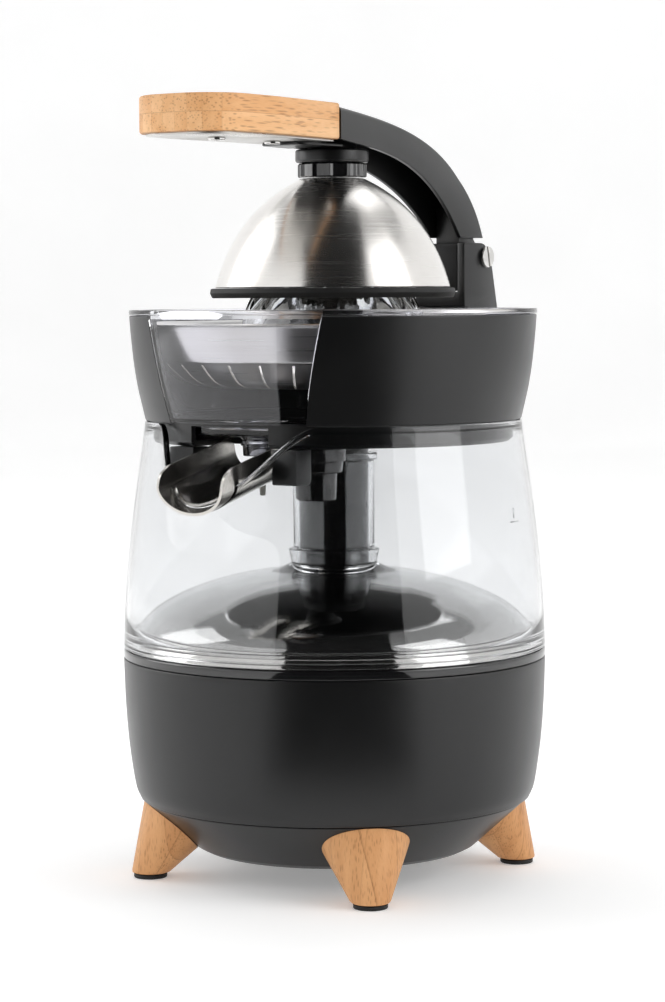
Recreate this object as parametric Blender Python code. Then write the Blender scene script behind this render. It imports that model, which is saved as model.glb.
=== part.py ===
"""Citrus press juicer: a motor base on splayed wooden legs, a clear juice jug, and an
upper unit with collector, strainer, reamer, spout and a lever-operated press dome.

Units are metres, +Z is up and -Y is the front. The origin is on the drive axis at table
level. Running and seating gaps between neighbouring pieces are GAP.
"""
import math

import bmesh
import bpy
from mathutils import Matrix, Vector

# ---------------------------------------------------------------- driving dimensions
GAP = 0.0003             # seating gap between touching pieces
ROUND = 32               # sides of the large turned pieces
MEDIUM = 24              # sides of the small turned pieces
SMALL = 16               # sides of pins and shafts

BASE_R = 0.0951          # base radius at its top edge
SEAM_Z = 0.0353          # joint between base housing and bottom cover
SHELF_Z = 0.0988         # top of the base housing
RING_Z = 0.1031          # top of the trim ring
DOME_R = 0.0880          # steel dome on the base
DOME_RISE = 0.0320
DOME_Z = 0.1040
COLUMN_R = 0.0157
COLUMN_TOP = 0.1992
SHAFT_R = 0.0040
LEG_REACH = 0.0598       # x and y of each foot
PAD_TOP = 0.0020
GEAR_MODULE = 0.0020
GEAR_TEETH = 30
PINION_TEETH = 9
MOTOR_X = -GEAR_MODULE * (GEAR_TEETH + PINION_TEETH) / 2.0

JUG_FOOT = RING_Z + GAP
JUG_RIM = 0.2050
JUG_WALL = 0.0020
LIP_HALF_ANGLE = math.radians(31.0)
LIP_DROP = 0.0320
LIP_REACH = 0.0145
LIP_START_Z = 0.1500

HOUSING_TOP = 0.2518
HOUSING_FOOT = 0.2053
FLOOR_LOW = 0.1955       # floor of the upper housing
FLOOR_HIGH = 0.1982
FLANGE_R = 0.0916        # collector flange
FLANGE_LOW = HOUSING_TOP + GAP
FLANGE_TOP = 0.2545
WINDOW_FOOT_Z = 0.2037
WINDOW_HALF_FOOT = 0.0345
WINDOW_SLOPE = 0.2174    # growth of the window's half width per metre of height
OUTLET_Y = -0.0580
STRAINER_SLOTS = 20

SPOUT_SLOPE = math.radians(13.0)
SPOUT_PIVOT = (0.0, -0.0705, 0.1885)
SPOUT_HALF = 0.0175
SPOUT_DEPTH = 0.0125

ARM_PIVOT = (0.0, 0.1070, 0.2784)
ARM_FRONT_Y = -0.0245
ARM_FRONT_HALF = 0.0220
ARM_REAR_Y = 0.0920
ARM_REAR_HALF = 0.0090
ARM_TOP = ((-0.0245, 0.3426), (0.0333, 0.3378), (0.0954, 0.3332), (0.1145, 0.2875))
ARM_UNDER = ((-0.0245, 0.3285), (0.0075, 0.3246), (0.0582, 0.3267), (0.0930, 0.2875))
HANDLE_TIP_Y = -0.1180
TOWER_REAR_Y = 0.1180
TOWER_HALF = 0.0140
TOWER_TOP = 0.2850
CLEVIS_HALF = 0.0098
CLEVIS_FLOOR = 0.2620

BLACK = (0.035, 0.035, 0.037)
CLEAR = (0.86, 0.88, 0.89)
STEEL = (0.62, 0.61, 0.59)
BAMBOO = (0.72, 0.44, 0.21)
RUBBER = (0.02, 0.02, 0.02)


# ---------------------------------------------------------------- modelling helpers
def bezier(points, count):
    """Points along a cubic curve, ends included."""
    a, b, c, d = (Vector(p) for p in points)
    result = []
    for i in range(count):
        t = i / (count - 1)
        s = 1.0 - t
        result.append(tuple(a * s ** 3 + 3 * b * s * s * t + 3 * c * s * t * t + d * t ** 3))
    return result


def ellipse_arc(a, b, z0, r_from, r_to, count):
    """Points (r, z) on the ellipse of half axes a and b, between two radii."""
    start, end = math.acos(r_from / a), math.acos(r_to / a)
    angles = [start + (end - start) * i / (count - 1) for i in range(count)]
    return [(a * math.cos(t), z0 + b * math.sin(t)) for t in angles]


def turned(profile, sides, centre=(0.0, 0.0)):
    """Full turn of an (r, z) outline; it is closed unless both ends lie on the axis."""
    bm = bmesh.new()
    verts = [bm.verts.new((r, 0.0, z)) for r, z in profile]
    edges = [bm.edges.new(pair) for pair in zip(verts, verts[1:])]
    if profile[0][0] > 0.0 or profile[-1][0] > 0.0:
        edges.append(bm.edges.new((verts[-1], verts[0])))
    bmesh.ops.spin(bm, geom=verts + edges, cent=(0, 0, 0), axis=(0, 0, 1),
                   angle=2.0 * math.pi, steps=sides, use_merge=True)
    bmesh.ops.remove_doubles(bm, verts=bm.verts, dist=1e-6)
    bmesh.ops.translate(bm, vec=(centre[0], centre[1], 0.0), verts=bm.verts)
    return bm


def prism(outline, axis, low, high):
    """Outline extruded along an axis: X takes (y, z), Y takes (x, z), Z takes (x, y)."""
    order = {"X": (2, 0, 1), "Y": (0, 2, 1), "Z": (0, 1, 2)}[axis]

    def place(u, v, w):
        values = (u, v, w)
        return Vector(values[i] for i in order)

    bm = bmesh.new()
    face = bm.faces.new([bm.verts.new(place(u, v, low)) for u, v in outline])
    grown = bmesh.ops.extrude_face_region(bm, geom=[face])
    moved = [item for item in grown["geom"] if isinstance(item, bmesh.types.BMVert)]
    bmesh.ops.translate(bm, vec=place(0.0, 0.0, high - low), verts=moved)
    bmesh.ops.recalc_face_normals(bm, faces=bm.faces)
    return bm


def block(low, high):
    """Box between two corners."""
    outline = [(low[0], low[1]), (high[0], low[1]), (high[0], high[1]), (low[0], high[1])]
    return prism(outline, "Z", low[2], high[2])


def lofted(rings):
    """Closed skin over a list of equally long point rings, with flat ends."""
    bm = bmesh.new()
    loops = []
    for ring in rings:
        verts = [bm.verts.new(point) for point in ring]
        loops.append([bm.edges.new((verts[i - 1], verts[i])) for i in range(len(verts))])
    for lower, upper in zip(loops, loops[1:]):
        bmesh.ops.bridge_loops(bm, edges=lower + upper)
    for end in (loops[0], loops[-1]):
        bmesh.ops.contextual_create(bm, geom=end)
    bmesh.ops.recalc_face_normals(bm, faces=bm.faces)
    return bm


def circle(radius, z, sides, centre=(0.0, 0.0)):
    """Ring of points; the radius may be a number or a function of the point's index."""
    radius_at = radius if callable(radius) else (lambda _: radius)
    ring = []
    for i in range(sides):
        angle = 2.0 * math.pi * i / sides
        ring.append((centre[0] + radius_at(i) * math.cos(angle),
                     centre[1] + radius_at(i) * math.sin(angle), z))
    return ring


def rod_x(profile, sides, pivot):
    """Turned outline of (r, x) points about the X axis through a pivot."""
    bm = turned(profile, sides)
    bmesh.ops.rotate(bm, cent=(0, 0, 0), matrix=Matrix.Rotation(math.pi / 2.0, 3, "Y"), verts=bm.verts)
    bmesh.ops.translate(bm, vec=(0.0, pivot[1], pivot[2]), verts=bm.verts)
    return bm


def cylinder(radius, low, high, sides, centre=(0.0, 0.0)):
    """Upright solid cylinder."""
    return turned([(0.0, high), (radius, high), (radius, low), (0.0, low)], sides, centre)


def tube(outer, inner, low, high, sides, centre=(0.0, 0.0)):
    """Upright hollow cylinder."""
    profile = [(outer, high), (outer, low), (inner, low), (inner, high)]
    return turned(profile, sides, centre)


def empty(name, location):
    """Guide that marks a joint's axis."""
    guide = bpy.data.objects.new(name, None)
    guide.location = location
    bpy.context.collection.objects.link(guide)
    return guide


def link_mesh(name, bm, axis_guide=None):
    """Object made from world-space geometry, parented to its joint's guide if it has one."""
    bmesh.ops.recalc_face_normals(bm, faces=bm.faces)
    if axis_guide is not None:
        bmesh.ops.translate(bm, vec=-axis_guide.location, verts=bm.verts)
    mesh = bpy.data.meshes.new(name)
    bm.to_mesh(mesh)
    bm.free()
    obj = bpy.data.objects.new(name, mesh)
    obj.parent = axis_guide
    bpy.context.collection.objects.link(obj)
    return obj


def piece(name, bm, color, roughness=0.45, metallic=0.0, axis_guide=None):
    """Finished piece with its own material and smooth shading."""
    obj = link_mesh(name, bm, axis_guide)
    finish = bpy.data.materials.new(name + "_finish")
    finish.use_nodes = True
    shader = finish.node_tree.nodes["Principled BSDF"]
    shader.inputs["Base Color"].default_value = (*color, 1.0)
    shader.inputs["Roughness"].default_value = roughness
    shader.inputs["Metallic"].default_value = metallic
    obj.data.materials.append(finish)
    obj.data.shade_smooth()
    obj.data.set_sharp_from_angle(angle=math.radians(32.0))
    return obj


def combine(obj, name, bm, operation="DIFFERENCE"):
    """Boolean of a piece with a hidden tool body; returns the tool."""
    tool = link_mesh(name, bm)
    tool.hide_render = True
    tool.display_type = "WIRE"
    modifier = obj.modifiers.new(name, "BOOLEAN")
    modifier.operation = operation
    modifier.solver = "EXACT"
    modifier.object = tool
    return tool


# ---------------------------------------------------------------- base and drive
def cover_outline(grow):
    """Outer cone of the bottom cover, grown outwards for the legs' seats."""
    return [(0.0870 + grow, 0.0350), (0.0640 + grow, 0.0140 - grow), (0.0605 + grow, 0.0122 - grow)]


def build_base():
    """Barrel housing, trim ring, steel dome and bottom cover."""
    barrel = [(BASE_R, SHELF_Z), (0.0944, 0.0785), (0.0930, 0.0603), (0.0904, 0.0420), (0.0879, SEAM_Z)]
    wall = 0.0030
    inside = [(r - wall, z) for r, z in reversed(barrel[1:])]
    shelf = [(BASE_R - wall, SHELF_Z - wall), (0.0800, SHELF_Z - wall), (0.0800, SHELF_Z)]
    housing = piece("base_housing", turned(barrel + inside + shelf, ROUND), BLACK, 0.42)
    inlet = cylinder(0.0060, 0.0, 0.0300, MEDIUM)
    bmesh.ops.rotate(inlet, cent=(0, 0, 0), matrix=Matrix.Rotation(-math.pi / 2.0, 3, "X"), verts=inlet.verts)
    bmesh.ops.translate(inlet, vec=(0.0, 0.0780, 0.0600), verts=inlet.verts)
    combine(housing, "inlet_cutter", inlet)

    piece("base_trim_ring", tube(BASE_R, DOME_R + 0.0004, SHELF_Z + GAP, RING_Z, ROUND), BLACK, 0.35)

    sheet = 0.0012
    hole = COLUMN_R + 0.0006
    outer = [(DOME_R, SHELF_Z + GAP)] + ellipse_arc(DOME_R, DOME_RISE, DOME_Z, DOME_R, hole, 6)
    inner = ellipse_arc(DOME_R - sheet, DOME_RISE - sheet, DOME_Z, hole, DOME_R - sheet, 6)
    inner.append((DOME_R - sheet, SHELF_Z + GAP))
    piece("motor_dome", turned(outer + inner, ROUND), STEEL, 0.12, 1.0)

    cone = cover_outline(0.0) + [(0.0, 0.0122)]
    hollow = [(0.0, 0.0150), (0.0590, 0.0150), (0.0625, 0.0165), (0.0838, 0.0350)]
    bottom = turned(cone + hollow + [cone[0]], ROUND)
    piece("bottom_cover", bottom, BLACK, 0.42)


def build_legs():
    """Four splayed wooden legs, seated on the cone of the bottom cover, each with a pad."""
    names = {(-1, -1): "front_left", (1, -1): "front_right", (-1, 1): "rear_left", (1, 1): "rear_right"}
    top_reach = 0.0480
    for (sx, sy), place in names.items():
        foot = circle(0.0085, PAD_TOP + GAP, MEDIUM, (sx * LEG_REACH, sy * LEG_REACH))
        head = circle(0.0190, 0.0345, MEDIUM, (sx * top_reach, sy * top_reach))
        leg = piece("leg_" + place, lofted([foot, head]), BAMBOO, 0.5)
        seat = [(0.0, 0.0400), (0.0930, 0.0400)] + cover_outline(GAP) + [(0.0, 0.0122 - GAP)]
        combine(leg, "leg_seat_" + place, turned(seat, ROUND))
        pad = cylinder(0.0075, 0.0, PAD_TOP, 20, (sx * LEG_REACH, sy * LEG_REACH))
        piece("foot_pad_" + place, pad, RUBBER, 0.8)


def gear_outline(teeth, phase, centre=(0.0, 0.0)):
    """Toothed outline with trapezoidal teeth and generous backlash."""
    pitch_r = teeth * GEAR_MODULE / 2.0
    flank = ((-0.25, -1.2), (-0.10, 0.85), (0.10, 0.85), (0.25, -1.2))
    outline = []
    for tooth in range(teeth):
        for share, height in flank:
            angle = phase + 2.0 * math.pi * (tooth + share) / teeth
            radius = pitch_r + height * GEAR_MODULE
            outline.append((centre[0] + radius * math.cos(angle), centre[1] + radius * math.sin(angle)))
    return outline


def build_drive(drive_axis, motor_axis):
    """Motor, reduction gear, drive shaft, its column and what holds them."""
    plate = piece("gearbox_plate", tube(0.0895, 0.0106, 0.0710, 0.0735, ROUND), (0.55, 0.55, 0.56), 0.4, 1.0)
    combine(plate, "motor_shaft_hole", cylinder(0.0050, 0.0690, 0.0760, SMALL, (MOTOR_X, 0.0)))
    piece("motor", cylinder(0.0260, 0.0260, 0.0700, MEDIUM, (MOTOR_X, 0.0)), (0.5, 0.5, 0.52), 0.35, 1.0)
    piece("motor_shaft", cylinder(0.0025, 0.0703, 0.0880, SMALL, (MOTOR_X, 0.0)),
          STEEL, 0.25, 1.0, motor_axis)
    pinion = piece("motor_pinion", prism(gear_outline(PINION_TEETH, math.pi / PINION_TEETH, (MOTOR_X, 0.0)),
                                         "Z", 0.0755, 0.0865), (0.66, 0.52, 0.3), 0.35, 1.0, motor_axis)
    combine(pinion, "pinion_bore", cylinder(0.0028, 0.0740, 0.0880, SMALL, (MOTOR_X, 0.0)))
    gear = piece("output_gear", prism(gear_outline(GEAR_TEETH, 0.0), "Z", 0.0765, 0.0855),
                 (0.86, 0.85, 0.8), 0.5, 0.0, drive_axis)
    combine(gear, "gear_bore", cylinder(SHAFT_R + 0.0004, 0.0750, 0.0870, SMALL))

    def hexagon(index):
        return 0.0041 * (1.0 if index % 2 == 0 else math.cos(math.pi / 6.0))

    rings = [circle(SHAFT_R, 0.0690, 12), circle(SHAFT_R, 0.2370, 12),
             circle(hexagon, 0.2385, 12), circle(hexagon, 0.2550, 12)]
    piece("drive_shaft", lofted(rings), STEEL, 0.25, 1.0, drive_axis)

    piece("lower_bearing", tube(0.0102, SHAFT_R + 0.0004, 0.0705, 0.0745, MEDIUM), STEEL, 0.3, 1.0)
    piece("upper_bush", tube(0.0120, SHAFT_R + 0.0004, 0.1870, 0.1988, MEDIUM), (0.8, 0.79, 0.74), 0.5)
    bore = 0.0125
    flange_r, flange_low, flange_top = 0.0240, 0.1235, 0.1270
    column = [(COLUMN_R, COLUMN_TOP), (COLUMN_R, flange_top), (flange_r, flange_top),
              (flange_r, flange_low), (bore, flange_low), (bore, COLUMN_TOP)]
    piece("drive_column", turned(column, MEDIUM), BLACK, 0.3)

    switch = [(-0.0060, 0.0520), (0.0060, 0.0520), (0.0060, 0.0640), (0.0015, 0.0640),
              (0.0015, 0.0686), (-0.0015, 0.0686), (-0.0015, 0.0640), (-0.0060, 0.0640)]
    piece("start_switch", prism(switch, "Y", -0.0090, 0.0090), (0.1, 0.1, 0.11), 0.5)
    piece("switch_post", cylinder(0.0070, 0.0153, 0.0517, SMALL), BLACK, 0.5)
    board = block((0.0160, -0.0240, 0.0450), (0.0620, 0.0240, 0.0466))
    piece("control_board", board, (0.05, 0.22, 0.12), 0.5)

    gland = rod_x([(0.0075, 0.0031), (0.0075, GAP), (0.0057, GAP), (0.0057, -0.0050),
                   (0.0035, -0.0050), (0.0035, 0.0031)], SMALL, (0.0, 0.0, 0.0))
    turn = Matrix.Rotation(math.pi / 2.0, 3, "Z")
    bmesh.ops.rotate(gland, cent=(0, 0, 0), matrix=turn, verts=gland.verts)
    bmesh.ops.translate(gland, vec=(0.0, 0.0932, 0.0600), verts=gland.verts)
    piece("cord_gland", gland, RUBBER, 0.8)


# ---------------------------------------------------------------- juice jug
def build_jug():
    """Clear jug over the dome and column, with a low pouring lip at the front."""
    outer = bezier([(BASE_R, JUG_FOOT + 0.0010), (0.0943, 0.1486), (0.0871, 0.1815), (0.0846, JUG_RIM)], 7)
    clear = 0.0010
    sheet = 0.0020
    sleeve = COLUMN_R + 0.0006
    under = ellipse_arc(DOME_R + clear, DOME_RISE + clear, DOME_Z, DOME_R + clear, sleeve, 5)
    over = ellipse_arc(DOME_R + clear + sheet, DOME_RISE + clear + sheet, DOME_Z, sleeve + sheet, 0.0890, 5)
    inner = [(r - JUG_WALL, z) for r, z in outer[1:]]
    profile = list(reversed(outer)) + [(0.0945, JUG_FOOT), (DOME_R + clear, JUG_FOOT)] + under
    profile += [(sleeve, 0.1900), (sleeve + sheet, 0.1900)] + over + [(0.0928, 0.1080)] + inner
    bm = turned(profile, ROUND)

    def wall_radius(z):
        for (r0, z0), (r1, z1) in zip(outer, outer[1:]):
            if z <= z1:
                return r0 + (r1 - r0) * (z - z0) / (z1 - z0)
        return outer[-1][0]

    for vert in bm.verts:
        radius = math.hypot(vert.co.x, vert.co.y)
        away = abs(math.atan2(vert.co.x, -vert.co.y))
        if radius < 0.0600 or vert.co.z <= LIP_START_Z or away >= LIP_HALF_ANGLE:
            continue
        share = 0.5 + 0.5 * math.cos(math.pi * away / LIP_HALF_ANGLE)
        height = (vert.co.z - LIP_START_Z) / (JUG_RIM - LIP_START_Z)
        z = LIP_START_Z + height * (JUG_RIM - LIP_DROP * share - LIP_START_Z)
        grown = radius - wall_radius(vert.co.z) + wall_radius(z) + LIP_REACH * share * height ** 1.5
        vert.co = Vector((vert.co.x * grown / radius, vert.co.y * grown / radius, z))
    piece("juice_jug", bm, CLEAR, 0.05)


# ---------------------------------------------------------------- upper unit
HOUSING_SIDE = [(0.0913, HOUSING_TOP), (0.0908, 0.2450), (0.0895, 0.2317), (0.0878, 0.2205),
                (0.0864, 0.2140), (0.0844, HOUSING_FOOT)]


def window_outline(grow):
    """Front window of the upper housing as (x, z), a wedge open at the top."""
    low, high = WINDOW_FOOT_Z - grow, 0.2560
    foot = WINDOW_HALF_FOOT + grow
    head = foot + WINDOW_SLOPE * (high - low)
    return [(-foot, low), (foot, low), (head, high), (-head, high)]


def build_housing():
    """Black ring with its floor, front window and spout slot, and the rest below it."""
    inside = [(0.0163, FLOOR_LOW), (0.0163, FLOOR_HIGH), (0.0778, FLOOR_HIGH), (0.0782, 0.2045),
              (0.0838, 0.2145), (0.0870, 0.2317), (0.0885, HOUSING_TOP)]
    spigot = [(0.0805, HOUSING_FOOT), (0.0805, 0.1972), (0.0788, FLOOR_LOW)]
    housing = piece("upper_housing", turned(HOUSING_SIDE + spigot + inside, ROUND), BLACK, 0.42)
    combine(housing, "window_cutter", prism(window_outline(0.0), "Y", -0.1000, -0.0600))
    combine(housing, "spout_slot_cutter", block((-0.0206, -0.0950, 0.1900), (0.0206, -0.0480, 0.2045)))
    nozzle_at = (0.0175, -0.0385)
    nozzle = [(0.0, FLOOR_LOW - GAP), (0.0130, FLOOR_LOW - GAP), (0.0130, 0.1835), (0.0093, 0.1830),
              (0.0088, 0.1712), (0.0, 0.1712)]
    piece("drain_nozzle", turned(nozzle, MEDIUM, nozzle_at), BLACK, 0.35)


def build_collector():
    """Clear collector bowl: its front fills the housing's window, its outlet feeds the spout."""
    outer = [(FLANGE_R, FLANGE_TOP), (FLANGE_R, FLANGE_LOW), (0.0881, FLANGE_LOW), (0.0866, 0.2317),
             (0.0833, 0.2148), (0.0776, 0.2050), (0.0774, 0.2005)]
    post = [(0.0052, 0.2005), (0.0052, 0.2360), (0.0082, 0.2360), (0.0082, 0.2030)]
    inner = [(0.0750, 0.2030), (0.0756, 0.2060), (0.0813, 0.2158), (0.0846, 0.2317), (0.0864, FLANGE_TOP)]
    bowl = piece("juice_collector", turned(outer + post + inner, ROUND), CLEAR, 0.05)

    front = [(r, z) for r, z in HOUSING_SIDE[1:5]]
    lens = [(0.0913, 0.2530)] + front
    lens += [(0.0848, 0.2055), (0.0760, 0.2055), (0.0822, 0.2160), (0.0855, 0.2317), (0.0872, 0.2530)]
    tool = combine(bowl, "window_lens", turned(lens, ROUND), "UNION")
    combine(tool, "lens_outline", prism(window_outline(-GAP), "Y", -0.1000, -0.0600), "INTERSECT")
    outlet = turned([(0.0, 0.2020), (0.0071, 0.2020), (0.0071, 0.1990), (0.0062, 0.1985),
                     (0.0062, 0.1912), (0.0, 0.1912)], MEDIUM, (0.0, OUTLET_Y))
    combine(bowl, "outlet_tube", outlet, "UNION")
    combine(bowl, "outlet_bore", cylinder(0.0045, 0.1890, 0.2060, MEDIUM, (0.0, OUTLET_Y)))

    steel = 0.0010
    bowl_side = [(0.0848, 0.2480), (0.0833, 0.2455), (0.0796, 0.2335), (0.0705, 0.2245), (0.0600, 0.2205),
                 (0.0100, 0.2190)]
    bowl_inside = [(0.0100, 0.2190 + steel), (0.0598, 0.2205 + steel), (0.0699, 0.2253), (0.0786, 0.2338),
                   (0.0822, 0.2458), (0.0840, 0.2490)]
    strainer = piece("strainer", turned(bowl_side + bowl_inside, ROUND), STEEL, 0.3, 1.0)
    slots = bmesh.new()
    for i in range(STRAINER_SLOTS):
        turn = Matrix.Rotation(2.0 * math.pi * (i + 0.5) / STRAINER_SLOTS, 4, "Z")
        place = turn @ Matrix.Translation((0.0520, 0.0, 0.2210)) @ Matrix.Rotation(math.radians(25.0), 4, "Z")
        size = Matrix.Diagonal((0.0180, 0.0018, 0.0100, 1.0))
        bmesh.ops.create_cube(slots, size=1.0, matrix=place @ size)
    combine(strainer, "slot_cutters", slots)


def build_spout(spout_axis):
    """Steel trough on two stub pins, carried by two brackets under the housing."""
    rear, tip = 0.0190, -0.0350
    wall = 0.0012
    steps = 8
    outer, inner = [], []
    for i in range(steps + 1):
        angle = math.pi * i / steps
        outer.append((SPOUT_HALF * math.cos(angle), -SPOUT_DEPTH * math.sin(angle)))
        inner.append(((SPOUT_HALF - wall) * math.cos(angle), -(SPOUT_DEPTH - wall) * math.sin(angle)))
    section = [(x, z + 0.0065) for x, z in outer + list(reversed(inner))]
    trough = prism(section, "Y", tip, rear)
    tilt = Matrix.Rotation(SPOUT_SLOPE, 3, "X")
    bmesh.ops.rotate(trough, cent=(0, 0, 0), matrix=tilt, verts=trough.verts)
    bmesh.ops.translate(trough, vec=SPOUT_PIVOT, verts=trough.verts)
    piece("spout", trough, STEEL, 0.22, 1.0, spout_axis)

    pin_r = 0.0018
    for side, place in ((-1, "left"), (1, "right")):
        low, high = sorted((side * 0.0210, side * 0.0340))
        arm = piece("spout_bracket_" + place, block((low, -0.0760, 0.1800), (high, -0.0650, FLOOR_LOW - GAP)),
                    BLACK, 0.4)
        bore = rod_x([(0.0, high + 0.002), (pin_r + 0.0004, high + 0.002), (pin_r + 0.0004, low - 0.002),
                      (0.0, low - 0.002)], SMALL, SPOUT_PIVOT)
        combine(arm, "spout_bore_" + place, bore)
        low, high = sorted((side * (SPOUT_HALF + GAP), side * 0.0330))
        pin = rod_x([(0.0, high), (pin_r, high), (pin_r, low), (0.0, low)], SMALL, SPOUT_PIVOT)
        piece("spout_pin_" + place, pin, STEEL, 0.3, 1.0, spout_axis)

    peg = cylinder(0.0018, 0.1735, 0.1856, SMALL, (0.0, -0.0535))
    piece("drip_peg", peg, (0.78, 0.78, 0.76), 0.5, 0.0, spout_axis)


def build_reamer(drive_axis):
    """Ribbed clear cone over a black core that the shaft's hexagonal end drives."""
    core = [(0.0, 0.2618), (0.0132, 0.2618), (0.0140, 0.2600), (0.0140, 0.2240), (0.0090, 0.2240),
            (0.0090, 0.2372), (0.0, 0.2372)]
    body = piece("reamer_core", turned(core, MEDIUM), BLACK, 0.4, 0.0, drive_axis)
    combine(body, "hex_socket", cylinder(0.0047, 0.2360, 0.2562, 6))

    ribs, per_rib = 10, 4
    sides = ribs * per_rib

    def ribbed(radius, depth):
        shares = (1.0, 0.5, 0.0, 0.5)
        return lambda index: radius * (1.0 - depth * (1.0 - shares[index % per_rib]))

    outside = [(0.2430, 0.0410, 0.0), (0.2485, 0.0406, 0.0), (0.2550, 0.0390, 0.12), (0.2640, 0.0340, 0.20),
               (0.2740, 0.0250, 0.24), (0.2830, 0.0150, 0.22), (0.2890, 0.0070, 0.15), (0.2905, 0.0020, 0.0)]
    inside = [(0.2623, 0.0060), (0.2623, 0.0143), (0.2590, 0.0146), (0.2540, 0.0320), (0.2430, 0.0385)]
    rings = [circle(radius, z, sides) for z, radius in inside]
    rings += [circle(ribbed(radius, depth), z, sides) for z, radius, depth in outside]
    piece("reamer_cone", lofted(rings), CLEAR, 0.08, 0.0, drive_axis)


# ---------------------------------------------------------------- lever and press dome
def build_tower():
    """Hinge tower at the back: clevis cheeks, front cover, pin and its two screws."""
    side = [(0.0800, 0.2060), (0.1130, 0.2060), (TOWER_REAR_Y, 0.2130), (TOWER_REAR_Y, 0.2550),
            (0.1122, 0.2790), (0.1100, 0.2825), (0.1065, TOWER_TOP), (0.0885, TOWER_TOP), (0.0885, 0.2530),
            (0.0800, 0.2530)]
    tower = piece("hinge_tower", prism(side, "X", -TOWER_HALF, TOWER_HALF), BLACK, 0.42)
    grown = [(r + GAP, z) for r, z in HOUSING_SIDE]
    seat = [(0.0, FLANGE_TOP + GAP), (FLANGE_R + GAP, FLANGE_TOP + GAP), (FLANGE_R + GAP, HOUSING_TOP)]
    seat += grown[1:-1] + [(grown[-1][0], 0.2000), (0.0, 0.2000)]
    combine(tower, "tower_seat", turned(seat, ROUND))
    combine(tower, "clevis_slot", block((-CLEVIS_HALF, 0.0700, CLEVIS_FLOOR), (CLEVIS_HALF, 0.1300, 0.2950)))
    pin_r = 0.0030
    bore = rod_x([(0.0, 0.02), (pin_r + GAP, 0.02), (pin_r + GAP, -0.02), (0.0, -0.02)], SMALL, ARM_PIVOT)
    combine(tower, "tower_bore", bore)

    piece("tower_cover", block((-0.0094, 0.0888, CLEVIS_FLOOR + GAP), (0.0094, 0.0916, 0.2846)), BLACK, 0.5)
    pin = [(0.0, 0.0118), (pin_r, 0.0118), (pin_r, -0.0118), (0.0, -0.0118)]
    piece("hinge_pin", rod_x(pin, SMALL, ARM_PIVOT), STEEL, 0.2, 1.0)
    for way, place in ((-1, "left"), (1, "right")):
        profile = [(0.0, way * 0.0160), (0.0050, way * 0.0160), (0.0050, way * 0.0143), (pin_r, way * 0.0143),
                   (pin_r, way * 0.0121), (0.0, way * 0.0121)]
        screw = piece("hinge_screw_" + place, rod_x(profile, SMALL, ARM_PIVOT), STEEL, 0.15, 1.0)
        low, high = sorted((way * 0.0152, way * 0.0170))
        slot = block((low, -0.0006, -0.0060), (high, 0.0006, 0.0060))
        bmesh.ops.translate(slot, vec=ARM_PIVOT, verts=slot.verts)
        combine(screw, "screw_slot_" + place, slot)


def arm_half_width(y):
    """Plan taper of the lever arm."""
    share = min(max((y - ARM_FRONT_Y) / (ARM_REAR_Y - ARM_FRONT_Y), 0.0), 1.0)
    return ARM_FRONT_HALF + (ARM_REAR_HALF - ARM_FRONT_HALF) * share


def build_lever(arm_axis):
    """Bent lever arm open below, its lug, the wooden handle and what holds it."""
    stations = 11
    wall, roof = 0.0020, 0.0030
    rings = []
    for (ty, tz), (by, bz) in zip(bezier(ARM_TOP, stations), bezier(ARM_UNDER, stations)):
        down = Vector((0.0, by - ty, bz - tz)).normalized() * roof
        top, under = arm_half_width(ty), arm_half_width(by)
        left, right = ([Vector((way * under, by, bz)), Vector((way * top, ty, tz)),
                        Vector((way * (top - wall), ty, tz)) + down, Vector((way * (under - wall), by, bz))]
                       for way in (-1, 1))
        rings.append([left[0], left[1], right[1], right[0], right[3], right[2], left[2], left[3]])
    piece("lever_arm", lofted(rings), BLACK, 0.45, 0.0, arm_axis)

    eye_r = 0.0068
    eye = []
    for i in range(10):
        angle = math.radians(35.0 - 215.0 * i / 9)
        eye.append((ARM_PIVOT[1] + eye_r * math.cos(angle), ARM_PIVOT[2] + eye_r * math.sin(angle)))
    outline = [(0.0955, 0.2840), (0.0955, 0.3020), (0.1000, 0.2990), (0.1050, 0.2930), (0.1085, 0.2868)] + eye
    lug = piece("arm_lug", prism(outline, "X", -0.0066, 0.0066), BLACK, 0.45, 0.0, arm_axis)
    bore = rod_x([(0.0, 0.01), (0.0034, 0.01), (0.0034, -0.01), (0.0, -0.01)], SMALL, ARM_PIVOT)
    combine(lug, "lug_bore", bore)

    corner = 0.0180
    wide = 0.0260
    tip = []
    for i in range(7):
        angle = math.radians(90.0 * i / 6)
        tip.append((wide - corner * (1.0 - math.cos(angle)), HANDLE_TIP_Y + corner * (1.0 - math.sin(angle))))
    right = [(ARM_FRONT_HALF - 0.0003, ARM_FRONT_Y - GAP)] + tip
    outline = right + [(-x, y) for x, y in reversed(right)]
    handle = piece("handle_plate", prism(outline, "Z", 0.3282, 0.3440), BAMBOO, 0.5, 0.0, arm_axis)
    tongue = piece("handle_tongue", block((-0.0130, -0.1000, 0.3250), (0.0130, -0.0200, 0.3279)),
                   (0.45, 0.45, 0.46), 0.35, 1.0, arm_axis)
    for y, place in ((-0.0850, "front"), (-0.0450, "rear")):
        for target in (handle, tongue):
            combine(target, target.name + "_hole_" + place, cylinder(0.0020, 0.3200, 0.3350, SMALL, (0.0, y)))
        screw = [(0.0, 0.3340), (0.0016, 0.3340), (0.0016, 0.3247), (0.0032, 0.3247), (0.0032, 0.3232),
                 (0.0, 0.3232)]
        piece("handle_screw_" + place, turned(screw, SMALL, (0.0, y)), STEEL, 0.25, 1.0, arm_axis)

    socket = [(0.0, 0.3340), (0.0110, 0.3340), (0.0110, 0.3253), (0.0165, 0.3253), (0.0165, 0.3196),
              (0.0, 0.3196)]
    piece("dome_socket", turned(socket, MEDIUM), BLACK, 0.35, 0.0, arm_axis)


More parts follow.
